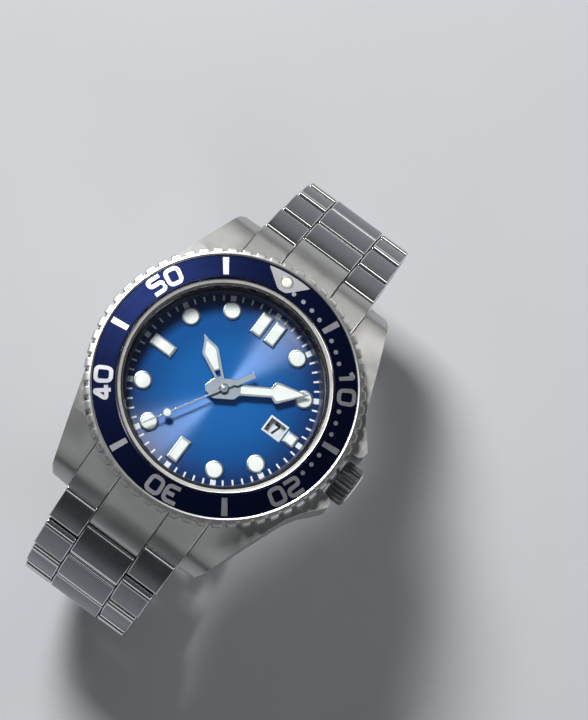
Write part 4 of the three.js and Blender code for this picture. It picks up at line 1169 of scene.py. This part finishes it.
for node in ("clasp_cover", "safety_latch"):
    dress(node, BRUSHED, 0.16, POLISHED)
for node in ("clasp_outer_blade", "clasp_inner_blade"):
    dress(node, BRUSHED, 0.08, POLISHED)
for node in ("clasp_button_left", "clasp_button_right"):
    dress(node, POLISHED, 0.15)
for node in ("spring_bar_12", "spring_bar_6", "clasp_spring_bar", "crown_tube", "stem", "setting_lever",
             "bezel_click_spring", "bezel_retaining_ring", "train_bridge", "motor_stator"):
    dress(node, SATIN, 0.03)
for node in ("main_plate", "fifth_wheel", "third_wheel", "seconds_wheel", "centre_wheel", "hour_wheel"):
    dress(node, BRASS, 0.02)
for node in ("movement_holder", "minute_wheel"):
    dress(node, NYLON, 0.03)
for node in ("case_back_gasket", "crown_gasket", "crystal_gasket"):
    dress(node, RUBBER)
dress("power_cell", POLISHED, 0.05)
dress("motor_coil", COPPER)
dress("motor_rotor", BLACK, 0.02)
dress("solar_cell", BLACK, 0.03)
dress("date_disc", WHITE, 0.02)


# ---- stage, light and camera ----

WATCH_MIDDLE = Vector((0.0056, 0.0098, 0.007))  # in metres, like the distances below
VIEW_FROM = Vector((0.03, -0.19, 0.98)).normalized()
IMAGE_RIGHT = Vector((0.797, 0.603, 0))
CAMERA_DISTANCE = 0.6
LENS = 206
FLOOR_HALF_SIZE = 3000  # in millimetres
FLOOR_GAP = 0.02


def make_floor():
    look = Look("pale_floor", Metallic=0.0)
    place = look.place()
    speckle = look.noise(place, scale=0.02, detail=3)
    look.set("Base Color", look.between(speckle, (0.38, 0.39, 0.405), (0.4, 0.41, 0.425)))
    look.set("Roughness", look.scaled(speckle, 0.1, 0.6))
    size = FLOOR_HALF_SIZE
    level = CAD_BOX[0].z / MM - FLOOR_GAP
    corners = [(-size, -size, level), (size, -size, level), (size, size, level), (-size, size, level)]
    floor = bpy.data.objects.new("floor", make_mesh(corners, [[0, 1, 2, 3]], [look.material]))
    scene.collection.objects.link(floor)


def aim(thing, place, target, up):
    """Puts a light or the camera at a place, facing a target."""
    back = (place - target).normalized()
    right = up.cross(back).normalized()
    axes = Matrix((right, back.cross(right), back)).transposed().to_4x4()
    thing.matrix_world = Matrix.Translation(place) @ axes


def make_camera():
    data = bpy.data.cameras.new("camera")
    data.lens = LENS
    data.sensor_width = 36
    data.clip_start = 0.01
    camera = bpy.data.objects.new("camera", data)
    scene.collection.objects.link(camera)
    up = VIEW_FROM.cross(IMAGE_RIGHT)
    aim(camera, WATCH_MIDDLE + VIEW_FROM * CAMERA_DISTANCE, WATCH_MIDDLE, up)
    scene.camera = camera


def softbox(name, direction, distance, size, power, colour=(1, 1, 1)):
    """A rectangular light that faces the watch from a direction. Distance and size are in metres."""
    data = bpy.data.lights.new(name, "AREA")
    data.shape = "RECTANGLE"
    data.size, data.size_y = size
    data.energy = power
    data.color = colour
    light = bpy.data.objects.new(name, data)
    scene.collection.objects.link(light)
    place = WATCH_MIDDLE + Vector(direction).normalized() * distance
    aim(light, place, WATCH_MIDDLE, Vector((0, 1, 0.01)))


def make_light():
    world = bpy.data.worlds.new("studio")
    world.use_nodes = True
    background = world.node_tree.nodes["Background"]
    background.inputs["Color"].default_value = (0.9, 0.95, 1.0, 1)
    background.inputs["Strength"].default_value = 0.06
    scene.world = world
    softbox("key", (-0.56, 0.31, 0.8), 0.9, (0.24, 0.24), 13)
    softbox("top", (0.22, 0.85, 0.46), 0.8, (0.6, 0.2), 1.1, (1, 0.98, 0.95))
    softbox("low", (0.1, -0.72, 0.7), 0.9, (0.6, 0.2), 0.35, (0.96, 0.98, 1))
    softbox("fill", (0.95, -0.3, 0.7), 1.0, (0.4, 0.5), 2.2, (0.92, 0.96, 1))


make_floor()
make_light()
make_camera()
scene.view_settings.view_transform = "Standard"
